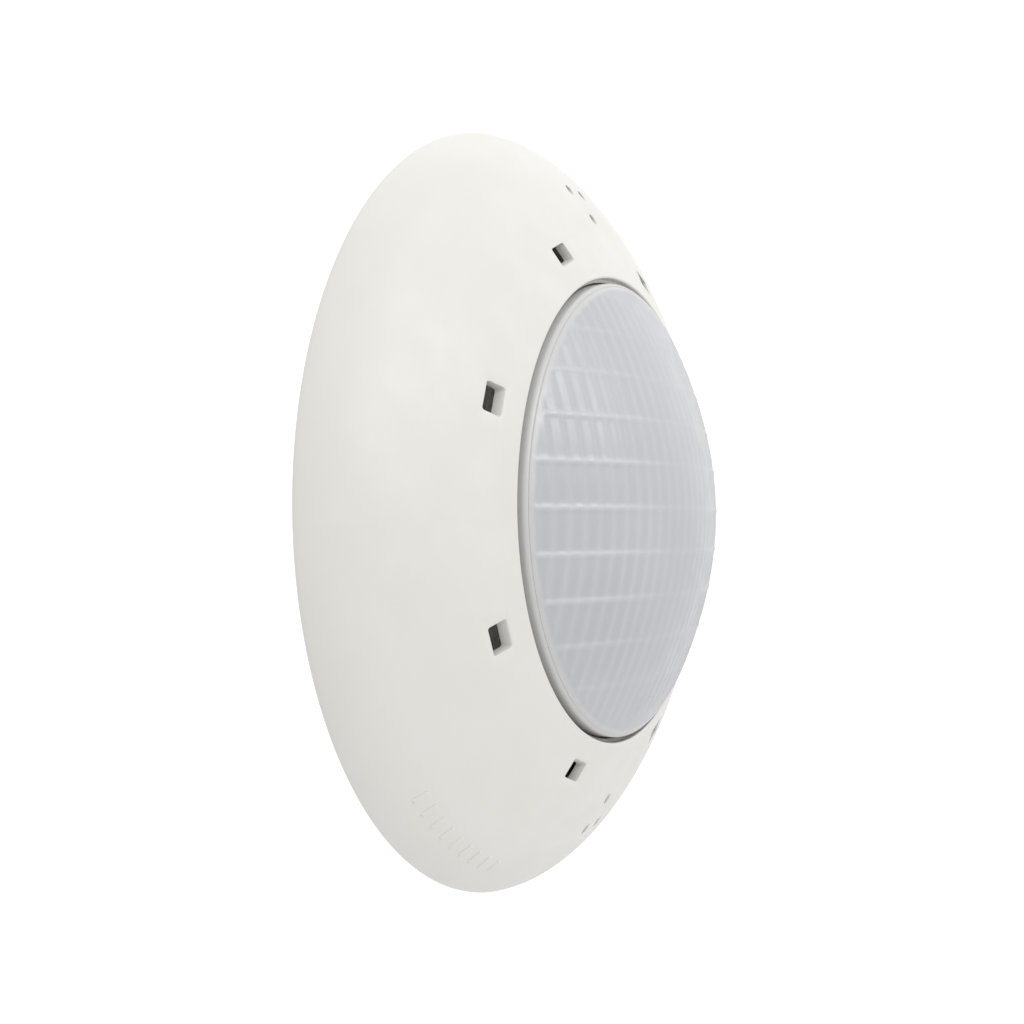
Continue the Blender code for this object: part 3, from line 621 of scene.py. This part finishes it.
def slot_outline(grow):
    """A rounded rectangle from its first corner's middle, two points to each cell."""
    a = SLOT_HALF[0] + grow
    b = SLOT_HALF[1] + grow
    corner = SLOT_CORNER + grow
    across = 2 * (SLOT_CELLS[1] - SLOT_CELLS[0])
    up = 2 * (len(SLOT_ROWS) - 1)
    bend = 3
    points = []
    for side, (length, width, count) in enumerate(((a, b, across), (b, a, up)) * 2):
        for k in range(count):
            share = min(max((k - bend) / (count - 2 * bend), 0), 1)
            x = (2 * share - 1) * (length - corner)
            y = -width
            if k < bend or k > count - bend:
                bent = k if k < bend else k - count + 2 * bend
                turn = radians(225 + 45 / bend * bent)
                x += corner * cos(turn)
                y += corner + corner * sin(turn)
            quarter = side * pi / 2
            points.append((x * cos(quarter) - y * sin(quarter),
                           x * sin(quarter) + y * cos(quarter)))
    return points


def round_outline(radius, cells):
    """A circle from the same corner, for a square block of cells."""
    count = 8 * cells
    turns = [radians(225) + tau * k / count for k in range(count)]
    return [(radius * cos(t), radius * sin(t)) for t in turns]


def loop(bm, outline, centre_r, angle, depth):
    """Vertices for an outline of (across, outwards) points, at a depth that may vary."""
    made = []
    for u, v in outline:
        x = (centre_r + v) * cos(angle) - u * sin(angle)
        z = (centre_r + v) * sin(angle) + u * cos(angle)
        d = depth(hypot(x, z)) if callable(depth) else depth
        made.append(bm.verts.new((x, -d, z)))
    return made


def collar(bm, edge, inner):
    """Faces between a block's edge and a loop with twice as many vertices."""
    count = len(edge)
    for k in range(count):
        after = (k + 1) % count
        bm.faces.new((edge[k], edge[after], inner[2 * after], inner[2 * k + 1]))
        bm.faces.new((edge[k], inner[2 * k + 1], inner[2 * k]))


def make_front_ring():
    """The domed ring: two skins with holes through both, and pegs on the inner one."""
    bm = bmesh.new()
    fillet_r = LIP_R + LIP_FILLET
    fillet_d = Line(inward(dome_line(), LIP_FILLET)).depth(fillet_r)
    lip = arc((fillet_r, fillet_d), LIP_FILLET, 180, 90 - degrees(LIP_SLOPE), 7)
    outer = [*lip, *face_points(OUTER, LIP_ROWS)]
    outer += falling(OUTER, outer[-1][0], EDGE_H, 0.0009)
    rim = [(RING_R, 0.0009), (RING_R - 0.00012, 0.00055), (RING_R - 0.0004, RING_BACK)]
    slots = [(radians(22.5 + 45 * k), *(cell + 45 * k for cell in SLOT_CELLS))
             for k in range(8)]
    vents = []
    for up in (1, -1):
        for x, z, rows, low in ((VENT_SHIFT, VENT_INNER, VENT_IN_ROWS, 86),
                                (VENT_SHIFT - VENT_SPREAD, VENT_OUTER, VENT_OUT_ROWS, 89),
                                (VENT_SHIFT + VENT_SPREAD, VENT_OUTER, VENT_OUT_ROWS, 83)):
            first = low if up > 0 else COLUMNS - VENT_CELLS - low
            vents.append((hypot(x, z), atan2(up * z, x), first,
                          first + VENT_CELLS, rows))
    holes = [(SLOT_ROWS[0], SLOT_ROWS[-1], low, high) for _, low, high in slots]
    holes += [(rows[0], rows[-1], low, high) for *_, low, high, rows in vents]
    pegs = [(*PEG_ROWS, middle - PEG_CELLS // 2, middle + PEG_CELLS // 2)
            for middle in DIAGONALS]

    ledge = softened([(LIP_R, LIP_DEPTH - 0.0014), (LIP_R, LEDGE_D), (LEDGE_R, LEDGE_D),
                      (LEDGE_R, RIB_FOOT), (RIB_OUTER, RIB_FOOT),
                      (RIB_OUTER, INNER.depth(RIB_OUTER))], 0.0004, closed=False)
    inner = [*ledge, *face_points(INNER, [0.0895])]
    inner += falling(INNER, inner[-1][0], 0.0030, 0.0015)
    heel_r = RING_R - SHELL
    inner += [(heel_r, 0.0020), (heel_r, 0.0007), (heel_r + 0.0003, RING_BACK)]

    outer_rows, outer_edges = grid(bm, outer + rim, holes)
    inner_rows, inner_edges = grid(bm, inner, holes + pegs)
    bridge(bm, [outer_rows[-1], inner_rows[-1]])
    bridge(bm, [outer_rows[0], inner_rows[0]])

    def through(edge_out, edge_in, outline, centre_r, angle, deeper):
        """A hole's rounded edge, its wall, and the collar round it inside the shell."""
        soft = 0.0004
        fine = 0.0001
        thick = 0.0009
        rings = [(OUTER, soft, 0.0), (OUTER, 0.3 * soft, -0.3 * soft), (OUTER, 0.0, -soft)]
        if deeper:
            rings += [(INNER, 0.0, fine - deeper), (INNER, fine, -deeper),
                      (INNER, thick - fine, -deeper), (INNER, thick, fine - deeper),
                      (INNER, thick, -fine), (INNER, thick + fine, 0.0)]
        else:
            rings += [(INNER, 0.0, fine), (INNER, fine, 0.0)]
        loops = [loop(bm, outline(grow), centre_r, angle,
                      lambda r, line=line, lift=lift: line.depth(r) + lift)
                 for line, grow, lift in rings]
        bridge(bm, loops)
        collar(bm, edge_out, loops[0])
        collar(bm, edge_in, loops[-1])

    for k, (angle, *_) in enumerate(slots):
        through(outer_edges[k], inner_edges[k], slot_outline, SLOT_R, angle, SLOT_COLLAR)
    for k, (r, angle, *_) in enumerate(vents, len(slots)):
        through(outer_edges[k], inner_edges[k],
                lambda grow: round_outline(VENT_R + grow, VENT_CELLS), r, angle, 0.0)
    for edge, middle in zip(inner_edges[len(holes):], DIAGONALS):
        angle = radians(middle)
        steps = [(PEG_ROOT_R + 0.0004, INNER.depth),
                 (PEG_ROOT_R, lambda r: INNER.depth(r) - 0.0005),
                 (PEG_ROOT_R, PEG_SHOULDER + 0.0002), (PEG_ROOT_R - 0.0002, PEG_SHOULDER),
                 (PEG_R + 0.0002, PEG_SHOULDER), (PEG_R, PEG_SHOULDER - 0.0002),
                 (PEG_R, PEG_TIP + 0.0012), (PEG_R - 0.0003, PEG_TIP + 0.0004),
                 (PEG_R - 0.0009, PEG_TIP)]
        loops = [loop(bm, round_outline(radius, PEG_CELLS), PEG_CIRCLE, angle, depth)
                 for radius, depth in steps]
        bridge(bm, loops)
        collar(bm, edge, loops[0])
        bm.faces.new(loops[-1])
    add_mark(bm)
    piece("front_ring", bm, RING_FINISH, "front_cover", "front_cover_ring", sharp=38)


def add_mark(bm):
    """A plain row of small raised bars, low on the ring's left."""
    half = 0.0009
    rise = 0.00040
    slant = 0.0003
    low_r = 0.1286
    length = 0.0046
    steps = 8
    first = 220.5
    pitch = 3.1
    section = [(-half, -rise), (-half + slant, rise), (half - slant, rise), (half, -rise)]
    for number in range(9):
        angle = radians(first + pitch * number)
        side = Vector((-sin(angle), 0, cos(angle)))
        loops = []
        for k in range(steps + 1):
            r = low_r + length * k / steps
            way = OUTER.outward(r)
            row = []
            for across, height in section:
                lift = -rise if k in (0, steps) else height
                spot = place(r + way.x * lift, angle, OUTER.depth(r) + way.y * lift)
                row.append(bm.verts.new(spot + side * across))
            loops.append(row)
        bridge(bm, loops)
        bm.faces.new(loops[0])
        bm.faces.new(loops[-1])


# ---------------------------------------------------------------- the lens

def dome_depth(r):
    """Depth of the lens's outer face at a radius: a slightly pointed cap."""
    soft = 0.06
    power = 0.88
    share = (r / LENS_EDGE_R) ** 2
    top = (1 + soft) ** power - soft ** power
    return LENS_EDGE_D + LENS_RISE * (1 - ((share + soft) ** power - soft ** power) / top)


def smooth(value, start, end):
    share = min(max((value - start) / (end - start), 0.0), 1.0)
    return share * share * (3 - 2 * share)


def relief(u, v):
    """The moulded pattern: upright flutes, deeper at the sides, crossed by level ridges."""
    flute = 0.5 + 0.5 * cos(tau * u / FLUTE_PITCH)
    side = smooth(abs(u), *SIDE_ZONE)
    flute_depth = 0.00013 + 0.00072 * side
    ridge_depth = 0.00008 + 0.00042 * side
    row = v / RIDGE_PITCH
    offset = (row - round(row)) * RIDGE_PITCH
    crown = 0.8 + 0.2 * sin(pi * (row % 1))
    height = flute_depth * flute * crown
    height *= 1 - smooth(abs(v), 0.0730, 0.0750)
    middle = 1 - 0.5 * smooth(abs(v), *FADE_ZONE)
    height += middle * ridge_depth * exp(-(offset / 0.00100) ** 2)
    return height * (1 - smooth(hypot(u, v), PATTERN_R - 0.0012, PATTERN_R - 0.0001))


def lens_rows():
    """Heights of the lens's grid lines, closer together at the ridges."""
    offsets = (0.0, 0.00035, 0.0007, 0.00105, 0.0015, 0.0021, 0.0030, 0.0041, 0.0053,
               0.0064, 0.00745)
    mirrored = {*offsets[:-1], *(-value for value in offsets)}
    rows = set()
    for k in range(-6, 7):
        rows |= {round(RIDGE_PITCH * k + value, 6) for value in mirrored}
    return sorted(v for v in rows if abs(v) <= PATTERN_R + 0.001)


def make_lens():
    """The lens: its patterned dome, smooth border, skirt and flange."""
    bm = bmesh.new()
    step = FLUTE_PITCH / 10
    reach = ceil(PATTERN_R / step)
    xs = [step * k for k in range(-reach, reach + 1)]
    zs = lens_rows()
    made = {}
    turn = Matrix.Rotation(-PATTERN_TURN, 3, "Y")
    for i, (x0, x1) in enumerate(zip(xs, xs[1:])):
        for j, (z0, z1) in enumerate(zip(zs, zs[1:])):
            if hypot((x0 + x1) / 2, (z0 + z1) / 2) > PATTERN_R - 0.0003:
                continue
            corners = []
            for key in ((i, j), (i + 1, j), (i + 1, j + 1), (i, j + 1)):
                if key not in made:
                    u, v = xs[key[0]], zs[key[1]]
                    d = dome_depth(hypot(u, v)) + relief(u, v)
                    made[key] = bm.verts.new(turn @ Vector((u, -d, v)))
                corners.append(made[key])
            bm.faces.new(corners)
    border = [e for e in bm.edges if e.is_boundary]
    rim = sorted({v for e in border for v in e.verts},
                 key=lambda v: atan2(v.co.z, v.co.x))
    angles = []
    for vert in rim:
        angle = atan2(vert.co.z, vert.co.x)
        angles.append(angle)
        vert.co = place(PATTERN_R, angle, dome_depth(PATTERN_R))
    inner_r = LENS_EDGE_R - LENS_WALL
    back = 0.0334
    front = 0.0361
    soft = 0.0003
    groove = [(PATTERN_R + out, dome_depth(PATTERN_R + out) - sink) for out, sink in
              ((0.0002, 0.00004), (0.00035, 0.00018), (0.0006, 0.00020),
               (0.0008, 0.00005))]
    bead = arc((0.0801, 0.0436), 0.0018, 68, 0, 8)
    skirt = [(LENS_R, 0.0405), (LENS_R, front + 0.0005), (LENS_R + 0.0002, front + 0.0001),
             (LENS_R + 0.0006, front), (FLANGE_R - 0.0004, front),
             (FLANGE_R, front - 0.0004), (FLANGE_R, back + soft), (FLANGE_R - soft, back),
             (inner_r + soft, back), (inner_r, back + soft)]
    within = [(inner_r * k / 12, dome_depth(inner_r * k / 12) - 1.12 * LENS_WALL)
              for k in range(12, 0, -1)]
    rows = [rim]
    for r, d in [*groove, *bead, *skirt, *within]:
        rows.append([bm.verts.new(place(r, angle, d)) for angle in angles])
    bridge(bm, rows)
    bm.faces.new(rows[-1])
    piece("lamp_lens", bm, LENS_FINISH, "lamp", "lamp_front_lens", sharp=50)


# ---------------------------------------------------------------- screws and nuts

def screw(node, body, base, axis, head_r, head_h, shank_r, length, pitch):
    """A pan-head screw with a cross recess, a turned thread and a pointed tip."""
    bm = bmesh.new()
    root = 0.72 * shank_r
    count = round(length / (pitch / 7))
    shank = [(shank_r, -length * (1 - k / count)) for k in range(count + 1)]

    def thread(r, height, angle):
        if height > -0.0005 or r > shank_r:
            return r
        phase = (height / pitch - angle / tau) % 1
        crest = max(0.0, 1 - abs(phase - 0.5) * 3.2)
        point = min(1.0, 0.12 + (height + length) / (3 * shank_r))
        return (root + (shank_r - root) * crest) * point

    soft = 0.08 * head_r
    crown = 0.55 * head_h
    head = [(head_r - soft, 0), (head_r, soft), (head_r, 0.45 * head_h),
            *arc((head_r - crown, 0.45 * head_h), crown, 15, 90, 5), (0, head_h)]
    lathe(bm, [(0, -length), *shank[1:], *head], 24, along(axis, base), ripple=thread)
    cross = bmesh.new()
    arm = 0.56 * head_r
    half = 0.13 * head_r
    outline = []
    for k in range(4):
        turn = Matrix.Rotation(k * pi / 2, 2)
        for x, y in ((half, half), (arm, half), (arm, -half)):
            outline.append(tuple(turn @ Vector((x, -y))))
    prism(cross, outline, 0.40 * head_h, 1.4 * head_h, along(axis, base))
    piece(node, bm, STEEL_FINISH, body, cut=[cross])


def make_screws():
    """The four wall screws, and the band's screw with its nut."""
    head_d = 0.0053
    for number, angle in enumerate(CROSS, 1):
        node = f"wall_screw_{number}"
        screw(node, "wall_mount", place(SCREW_CIRCLE, radians(angle), head_d),
              (0, -1, 0), head_r=0.0042, head_h=0.0028, shank_r=0.0020,
              length=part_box(node)[1].y + head_d, pitch=0.0018)
    screw("clamp_screw", "lamp", (LUG_FACE, *LUG_AXIS), (1, 0, 0), head_r=0.0027,
          head_h=0.0020, shank_r=0.0015, length=0.0165, pitch=0.0007)
    bore = 0.0018
    outside = 0.0030
    thick = 0.0022
    nut = turned([(bore, 0), (outside, 0), (outside, thick), (bore, thick)], 6,
                 [along((-1, 0, 0), (-LUG_FACE, *LUG_AXIS))], soft=0.0003)
    piece("clamp_nut", nut, STEEL_FINISH, "lamp")


# ---------------------------------------------------------------- the wall side

UPRIGHT = Matrix.Rotation(pi / 2, 4, "X")       # stands an (r, d) section up


def make_wall_plate():
    """The wall plate, with posts for the lamp, sockets and screw bosses."""
    thick = 0.0030
    sunk = thick - 0.0008
    rim_r = PLATE_R - 0.0030
    rim_d = 0.0080
    seat_r = 0.0185
    seat_d = 0.0020
    hub_r = 0.0200
    hub_d = 0.0050
    line_r = 0.1245
    line_in = 0.1225
    line_d = 0.0007
    plate = turned([(seat_r, 0), (seat_r, seat_d), (CABLE_HOLE_R, seat_d),
                    (CABLE_HOLE_R, hub_d), (hub_r, hub_d), (hub_r, thick), (rim_r, thick),
                    (rim_r, rim_d), (PLATE_R, rim_d), (PLATE_R, 0), (line_r, 0),
                    (line_r, line_d), (line_in, line_d), (line_in, 0)], 180, soft=0.0004)

    post_in = 0.0840
    post_out = 0.0945
    post_d = 0.0320
    notch_r = 0.0910
    notch_d = 0.0274
    section = softened([(post_in, sunk), (post_out, sunk), (post_out, post_d),
                        (notch_r, post_d), (notch_r, notch_d), (post_in, notch_d)], 0.0008,
                       keep=(0, 1))
    posts = bmesh.new()
    for middle in DIAGONALS:
        prism(posts, section, -0.0060, 0.0060, radial(radians(middle)) @ UPRIGHT)

    bore = 0.0060
    outside = 0.0072
    tube_d = 0.0180
    tubes = turned([(bore, sunk), (outside, sunk), (outside, tube_d), (bore, tube_d)], 48,
                   around(PEG_CIRCLE, DIAGONALS), soft=0.0003)
    fin_in = 0.0066
    fin_out = 0.0106
    fins = bmesh.new()
    for base in around(PEG_CIRCLE, DIAGONALS):
        for side in (0, 120, 240):
            turn = Matrix.Rotation(radians(side), 4, "Z")
            prism(fins, [(fin_in, sunk), (fin_out, sunk), (fin_out, thick + 0.0006),
                         (fin_in, 0.0130)], -0.0006, 0.0006, base @ turn @ UPRIGHT)

    boss_r = 0.0072
    boss_d = 0.0050
    bosses = turned([(0, sunk), (boss_r, sunk), (boss_r, thick + 0.0002),
                     (boss_r - 0.0002, 0.0047), (0.0067, boss_d), (0, boss_d)], 48,
                    around(SCREW_CIRCLE, CROSS))
    hole_r = 0.0025
    holes = turned([(0, -0.0020), (hole_r, -0.0020), (hole_r, 0.0046), (0.0034, 0.0056),
                    (0, 0.0056)], 32, around(SCREW_CIRCLE, CROSS))
    panels = bmesh.new()
    for k in range(8):
        start = radians(45 * k + 3.5)
        for inner, outer in ((0.0240, 0.0500), (0.0530, 0.0790)):
            for low, high in ((thick - 0.0009, thick + 0.002), (-0.002, 0.0007)):
                section = [(inner, low), (outer, low), (outer, high), (inner, high)]
                lathe(panels, section, 20, start=start, sweep=radians(38))
    piece("wall_plate", plate, PLATE_FINISH, "wall_mount",
          add=[posts, tubes, fins, bosses], cut=[holes, panels], bevel=0.00025)


def make_grommets():
    """The cable's grommet, and the four that grip the ring's pegs."""
    bore = 0.0050
    neck = CABLE_HOLE_R - 0.0003
    flange = 0.0175
    grommet = turned([(bore, 0.0003), (flange, 0.0003), (flange, 0.0017), (neck, 0.0017),
                      (neck, 0.0053), (flange, 0.0053), (0.0165, 0.0073),
                      (0.0135, 0.0077), (0.0130, 0.0074), (0.0100, 0.0078),
                      (0.0095, 0.0082), (0.0060, 0.0085), (bore, 0.0075)], 96, soft=0.0004)
    piece("cable_grommet", grommet, RUBBER_FINISH, "wall_mount")

    bore = PEG_R + 0.0003
    relief_r = bore + 0.0004
    sleeve = 0.0057
    back = 0.0033
    cap_d = 0.0183
    front = 0.0198
    profile = [(bore, back), (sleeve, back), (sleeve, cap_d), (0.0072, cap_d),
               (0.0069, 0.0194), (0.0062, front), (bore + 0.0012, front), (bore, 0.0188),
               (bore, 0.0150), (relief_r, 0.0145), (relief_r, 0.0080), (bore, 0.0075)]
    for number, base in enumerate(around(PEG_CIRCLE, DIAGONALS), 1):
        piece(f"ring_grommet_{number}", turned(profile, 64, [base], soft=0.0003),
              RUBBER_FINISH, "wall_mount")


# ---------------------------------------------------------------- the lamp's shell

def make_clamp_band():
    """A C-section band round both flanges, open at the top between its two lugs."""
    sheet = 0.0010
    outside = band_high.x
    inside = outside - 0.0012
    back = -band_high.y
    front = -band_low.y
    lip = 0.0852
    opening = radians(4)
    start = FORWARD @ Matrix.Rotation(-pi / 2 + opening / 2, 4, "Z")
    band = turned([(outside, back), (outside, front), (lip, front), (lip, front - sheet),
                   (inside, front - sheet), (inside, back + sheet), (lip, back + sheet),
                   (lip, back)], 260, [start], soft=0.0003, steps=2,
                  sweep=tau - opening)
    lugs = bmesh.new()
    for side in (-1, 1):
        middle = (side * 0.0046 - 0.0012, LUG_AXIS[0], 0.0942)
        prism(lugs, box_outline(0.0082, 0.0058, 0.0014, 4), 0, 0.0024,
              along((1, 0, 0), middle))
    hole = turned(rod(0.0018, -0.012, 0.012), 32, [along((1, 0, 0), (0, *LUG_AXIS))])
    piece("clamp_band", band, STEEL_FINISH, "lamp", add=[lugs], cut=[hole], bevel=0.00012)


def make_lamp_housing():
    """The rear shell, with cooling ribs, screw pillars and the gland's boss."""
    bed = 0.0140
    wall = 0.0030
    foot = 0.0715
    corner = 0.0045
    draft = -17
    back = 0.0290
    front = 0.0316
    soft = 0.0003
    sunk = bed + 0.0008
    inside = bed + 0.002
    outer = arc((foot, bed + corner), corner, -90, draft, 7)
    inner = arc((foot - 0.0005, bed + corner), corner - wall, draft, -90, 4)
    shell = turned([(0, bed), *outer, (0.0790, back - 0.0006), (0.0797, back),
                    (FLANGE_R - soft, back), (FLANGE_R, back + soft),
                    (FLANGE_R, front - soft), (FLANGE_R - soft, front), (0.0771, front),
                    (0.0768, front - soft), *inner, (0, bed + wall)], 200)
    fins = bmesh.new()
    for k in range(12):
        prism(fins, box_outline(0.0400, 0.0022, 0.0010), bed - 0.0028, sunk,
              radial(radians(30 * k), 0.0440))
    rings = bmesh.new()
    low = bed - 0.0008
    for r in (0.0120, 0.0660):
        lathe(rings, softened([(r, low), (r + 0.0020, low), (r + 0.0020, sunk), (r, sunk)],
                              soft), 140)
    bore = 0.0015
    bore_d = 0.0230
    pillar = 0.0038
    top = 0.0307
    feet = turned([(bore, bore_d), (bore, top), (pillar, top), (pillar, inside),
                   (0, inside), (0, bore_d)], 24, around(0.0600, DIAGONALS))
    for x in (-0.0257, 0.0257):
        for z in (-0.0164, 0.0164):
            lathe(feet, rod(0.0028, inside, 0.0187), 20, along((0, -1, 0), (x, 0, z)))
    boss_r = 0.0088
    root = 0.0735
    boss = turned([(0, root), (boss_r, root), (boss_r, GLAND_FACE - 0.0004),
                   (boss_r - 0.0004, GLAND_FACE), (0, GLAND_FACE)], 64,
                  [along((0, 0, -1), (0, -GLAND_D - 0.0007, 0))])
    trim = bmesh.new()
    prism(trim, box_outline(0.03, 0.02), bed - 0.0061, bed - 0.0001,
          Matrix.Translation((0, 0, -0.082)) @ radial(0.0))
    way = turned(rod(0.0053, 0.066, 0.085), 48, [DOWN])
    piece("lamp_housing", shell, CASING_FINISH, "lamp", add=[fins, rings, feet, boss],
          cut=[trim, way], bevel=0.0003)


def make_gland():
    """The cable gland: its body, seal and ribbed nut."""
    cable = 0.0046
    stem = 0.0050
    barrel = 0.0052
    mouth = 0.0060
    seat = GLAND_FACE + 0.0003
    step = 0.0865
    end = 0.0925
    tube = turned([(cable, 0.0690), (stem, 0.0690), (stem, seat), (barrel, seat),
                   (barrel, step), (mouth, step), (mouth, end), (cable, end)], 64, [DOWN],
                  soft=0.00015, steps=1)
    root = stem - 0.0001
    hexagon = turned([(root, seat), (0.0070, seat), (0.0075, GLAND_FACE + 0.0007),
                      (0.0075, 0.0855), (0.0070, 0.0860), (root, 0.0860)], 6, [DOWN])
    piece("gland_body", tube, NYLON_FINISH, "lamp", add=[hexagon])
    low = end + 0.0003
    high = 0.0965
    seal = turned([(cable, low), (mouth, low), (mouth, 0.0955), (0.0054, high),
                   (cable, high)], 64, [DOWN], soft=0.0002)
    piece("gland_seal", seal, RUBBER_FINISH, "lamp")

    def grip(r, height, angle):
        if r < 0.0070 or height > 0.0968:
            return r
        return r - 0.0005 * (0.5 - 0.5 * cos(18 * angle)) ** 0.6

    skirt = 0.0081
    top = 0.0985
    nut = turned([(0.0066, 0.0870), (0.0076, 0.0870), (skirt, 0.0873), (skirt, 0.0895),
                  (skirt, 0.0920), (skirt, 0.0945), (0.0080, 0.0962), (0.0076, 0.0974),
                  (0.0070, top - 0.0003), (0.0062, top), (0.0051, top),
                  (0.0049, top - 0.0002), (0.0049, 0.0969), (0.0066, 0.0968)], 216,
                 [DOWN], ripple=grip)
    piece("gland_nut", nut, NYLON_FINISH, "gland_nut", sharp=40)


# ---------------------------------------------------------------- the sealed inner pieces

def finish_inner_pieces():
    """The pieces inside the lamp keep their CAD shapes and get real finishes."""
    carried(SILICONE_FINISH, "lens_gasket")
    carried(STEEL_FINISH, *(f"board_screw_{number}" for number in range(1, 5)))
    carried(metal("aluminium_finish", (0.74, 0.75, 0.76), (0.62, 0.63, 0.64),
                  (0.28, 0.46), lines=(2, 3800, 3800)), "heat_spreader")
    carried(circuit("board_white_finish", (0.74, 0.75, 0.72), (0.84, 0.84, 0.82)),
            "led_board")
    carried(circuit("board_green_finish", (0.018, 0.110, 0.045), (0.050, 0.200, 0.085)),
            "driver_board")
    carried(moulded("led_dome_finish", (0.90, 0.78, 0.30), (0.82, 0.66, 0.20),
                    (0.14, 0.26), grain=0.00001, clouds=700, Coat_Weight=0.6),
            *(f"led_{number:02d}" for number in range(1, 13)))
    plastics = (
        ("capacitor", ("capacitor_1", "capacitor_2"), (0.040, 0.048, 0.085),
         (0.022, 0.026, 0.050), (0.25, 0.40), 0.00001, 300),
        ("ferrite", ("inductor",), (0.085, 0.083, 0.080),
         (0.050, 0.049, 0.048), (0.50, 0.70), 0.00005, 500),
        ("epoxy", ("rectifier", "driver_chip"), (0.030, 0.030, 0.031),
         (0.016, 0.016, 0.017), (0.42, 0.60), 0.00004, 400),
        ("terminal", ("terminal_block",), (0.055, 0.33, 0.13),
         (0.035, 0.24, 0.09), (0.35, 0.50), 0.00003, 260),
        ("lead_red", ("lead_red",), (0.52, 0.020, 0.018),
         (0.38, 0.012, 0.012), (0.35, 0.50), 0.00002, 500),
        ("lead_black", ("lead_black",), (0.030, 0.030, 0.032),
         (0.016, 0.016, 0.017), (0.35, 0.50), 0.00002, 500),
    )
    for name, carriers, light, dark, rough, grain, clouds in plastics:
        carried(moulded(f"{name}_finish", light, dark, rough, grain=grain, clouds=clouds),
                *carriers)


make_front_ring()
make_lens()
make_wall_plate()
make_screws()
make_grommets()
make_clamp_band()
make_lamp_housing()
make_gland()
finish_inner_pieces()


# ---------------------------------------------------------------- stage, light and camera

FLOOR_Z = -0.60
FLOOR_HALF = 0.70
WORLD_LEVEL = 0.95
WORLD_SLOPE = (0.17, 0.17, 0.20)    # how much brighter it gets towards +X, +Y and +Z
WORLD_RANGE = (0.2, 1.6)
KEY_SPOT = (-0.50, -2.00, 1.15)     # the one lamp: a soft disc, in front, left and above
KEY_SIZE = 1.1
KEY_POWER = 16.5


def make_floor():
    """A plain pale floor, well below the light."""
    bm = bmesh.new()
    bmesh.ops.create_grid(bm, x_segments=16, y_segments=16, size=FLOOR_HALF)
    bmesh.ops.translate(bm, verts=bm.verts, vec=(0, 0, FLOOR_Z))
    floor = loose("floor", bm)
    look = Finish("floor_finish", 0.9)
    look.colour(look.cloudy(3, 2, (0.76, 0.76, 0.76), (0.79, 0.79, 0.79)))
    floor.data.materials.append(look.mat)


def make_world():
    """A soft white studio, brighter behind the light, to its right and above."""
    world = bpy.data.worlds.new("studio")
    world.use_nodes = True
    tree = world.node_tree
    place = make_node(tree, "TexCoord").outputs["Generated"]
    level = WORLD_LEVEL
    for part, weight in zip(make_node(tree, "SeparateXYZ", place).outputs, WORLD_SLOPE):
        step = make_node(tree, "Math", part, weight, level, operation="MULTIPLY_ADD")
        level = step.outputs[0]
    low, high = WORLD_RANGE
    clamp = make_node(tree, "Clamp", Value=level, Min=low, Max=high)
    fill(tree, tree.nodes["Background"], {"Color": (1.0, 1.0, 1.0, 1.0),
                                          "Strength": clamp.outputs[0]})
    bpy.context.scene.world = world


def make_key():
    """A soft lamp that faces the origin."""
    light = bpy.data.lights.new("key", "AREA")
    light.shape = "DISK"
    light.size = KEY_SIZE
    light.energy = KEY_POWER
    item = bpy.data.objects.new("key", light)
    item.location = KEY_SPOT
    item.rotation_euler = (-Vector(KEY_SPOT)).to_track_quat("-Z", "Y").to_euler()
    bpy.context.scene.collection.objects.link(item)


def square_to(view):
    """The two directions square to a view: to its right and up."""
    right = view.cross(Vector((0, 0, 1))).normalized()
    return right, right.cross(view)


def make_camera():
    """The camera stands to the light's left, almost level with its axis."""
    azimuth = radians(-67.07)
    rise = radians(1.115)
    yaw = radians(-5.006)
    pitch = radians(0.042)
    roll = radians(-1.462)
    distance = 3.272 * RING_R
    target = Vector((0, -0.3 * RING_R, 0))
    outward = Vector((sin(azimuth) * cos(rise),
                      -cos(azimuth) * cos(rise), sin(rise)))
    right, up = square_to(-outward)
    view = (-outward + right * tan(yaw) + up * tan(pitch)).normalized()
    right, up = square_to(view)
    rolled_right = right * cos(roll) + up * sin(roll)
    rolled_up = up * cos(roll) - right * sin(roll)
    data = bpy.data.cameras.new("camera")
    data.sensor_width = 36.0
    data.lens = 43.8
    data.clip_start = 0.01
    camera = bpy.data.objects.new("camera", data)
    turn = Matrix((rolled_right, rolled_up, -view)).transposed().to_4x4()
    camera.matrix_world = Matrix.Translation(target + outward * distance) @ turn
    bpy.context.scene.collection.objects.link(camera)
    bpy.context.scene.camera = camera


make_floor()
make_world()
make_key()
make_camera()
bpy.context.scene.view_settings.view_transform = "Standard"
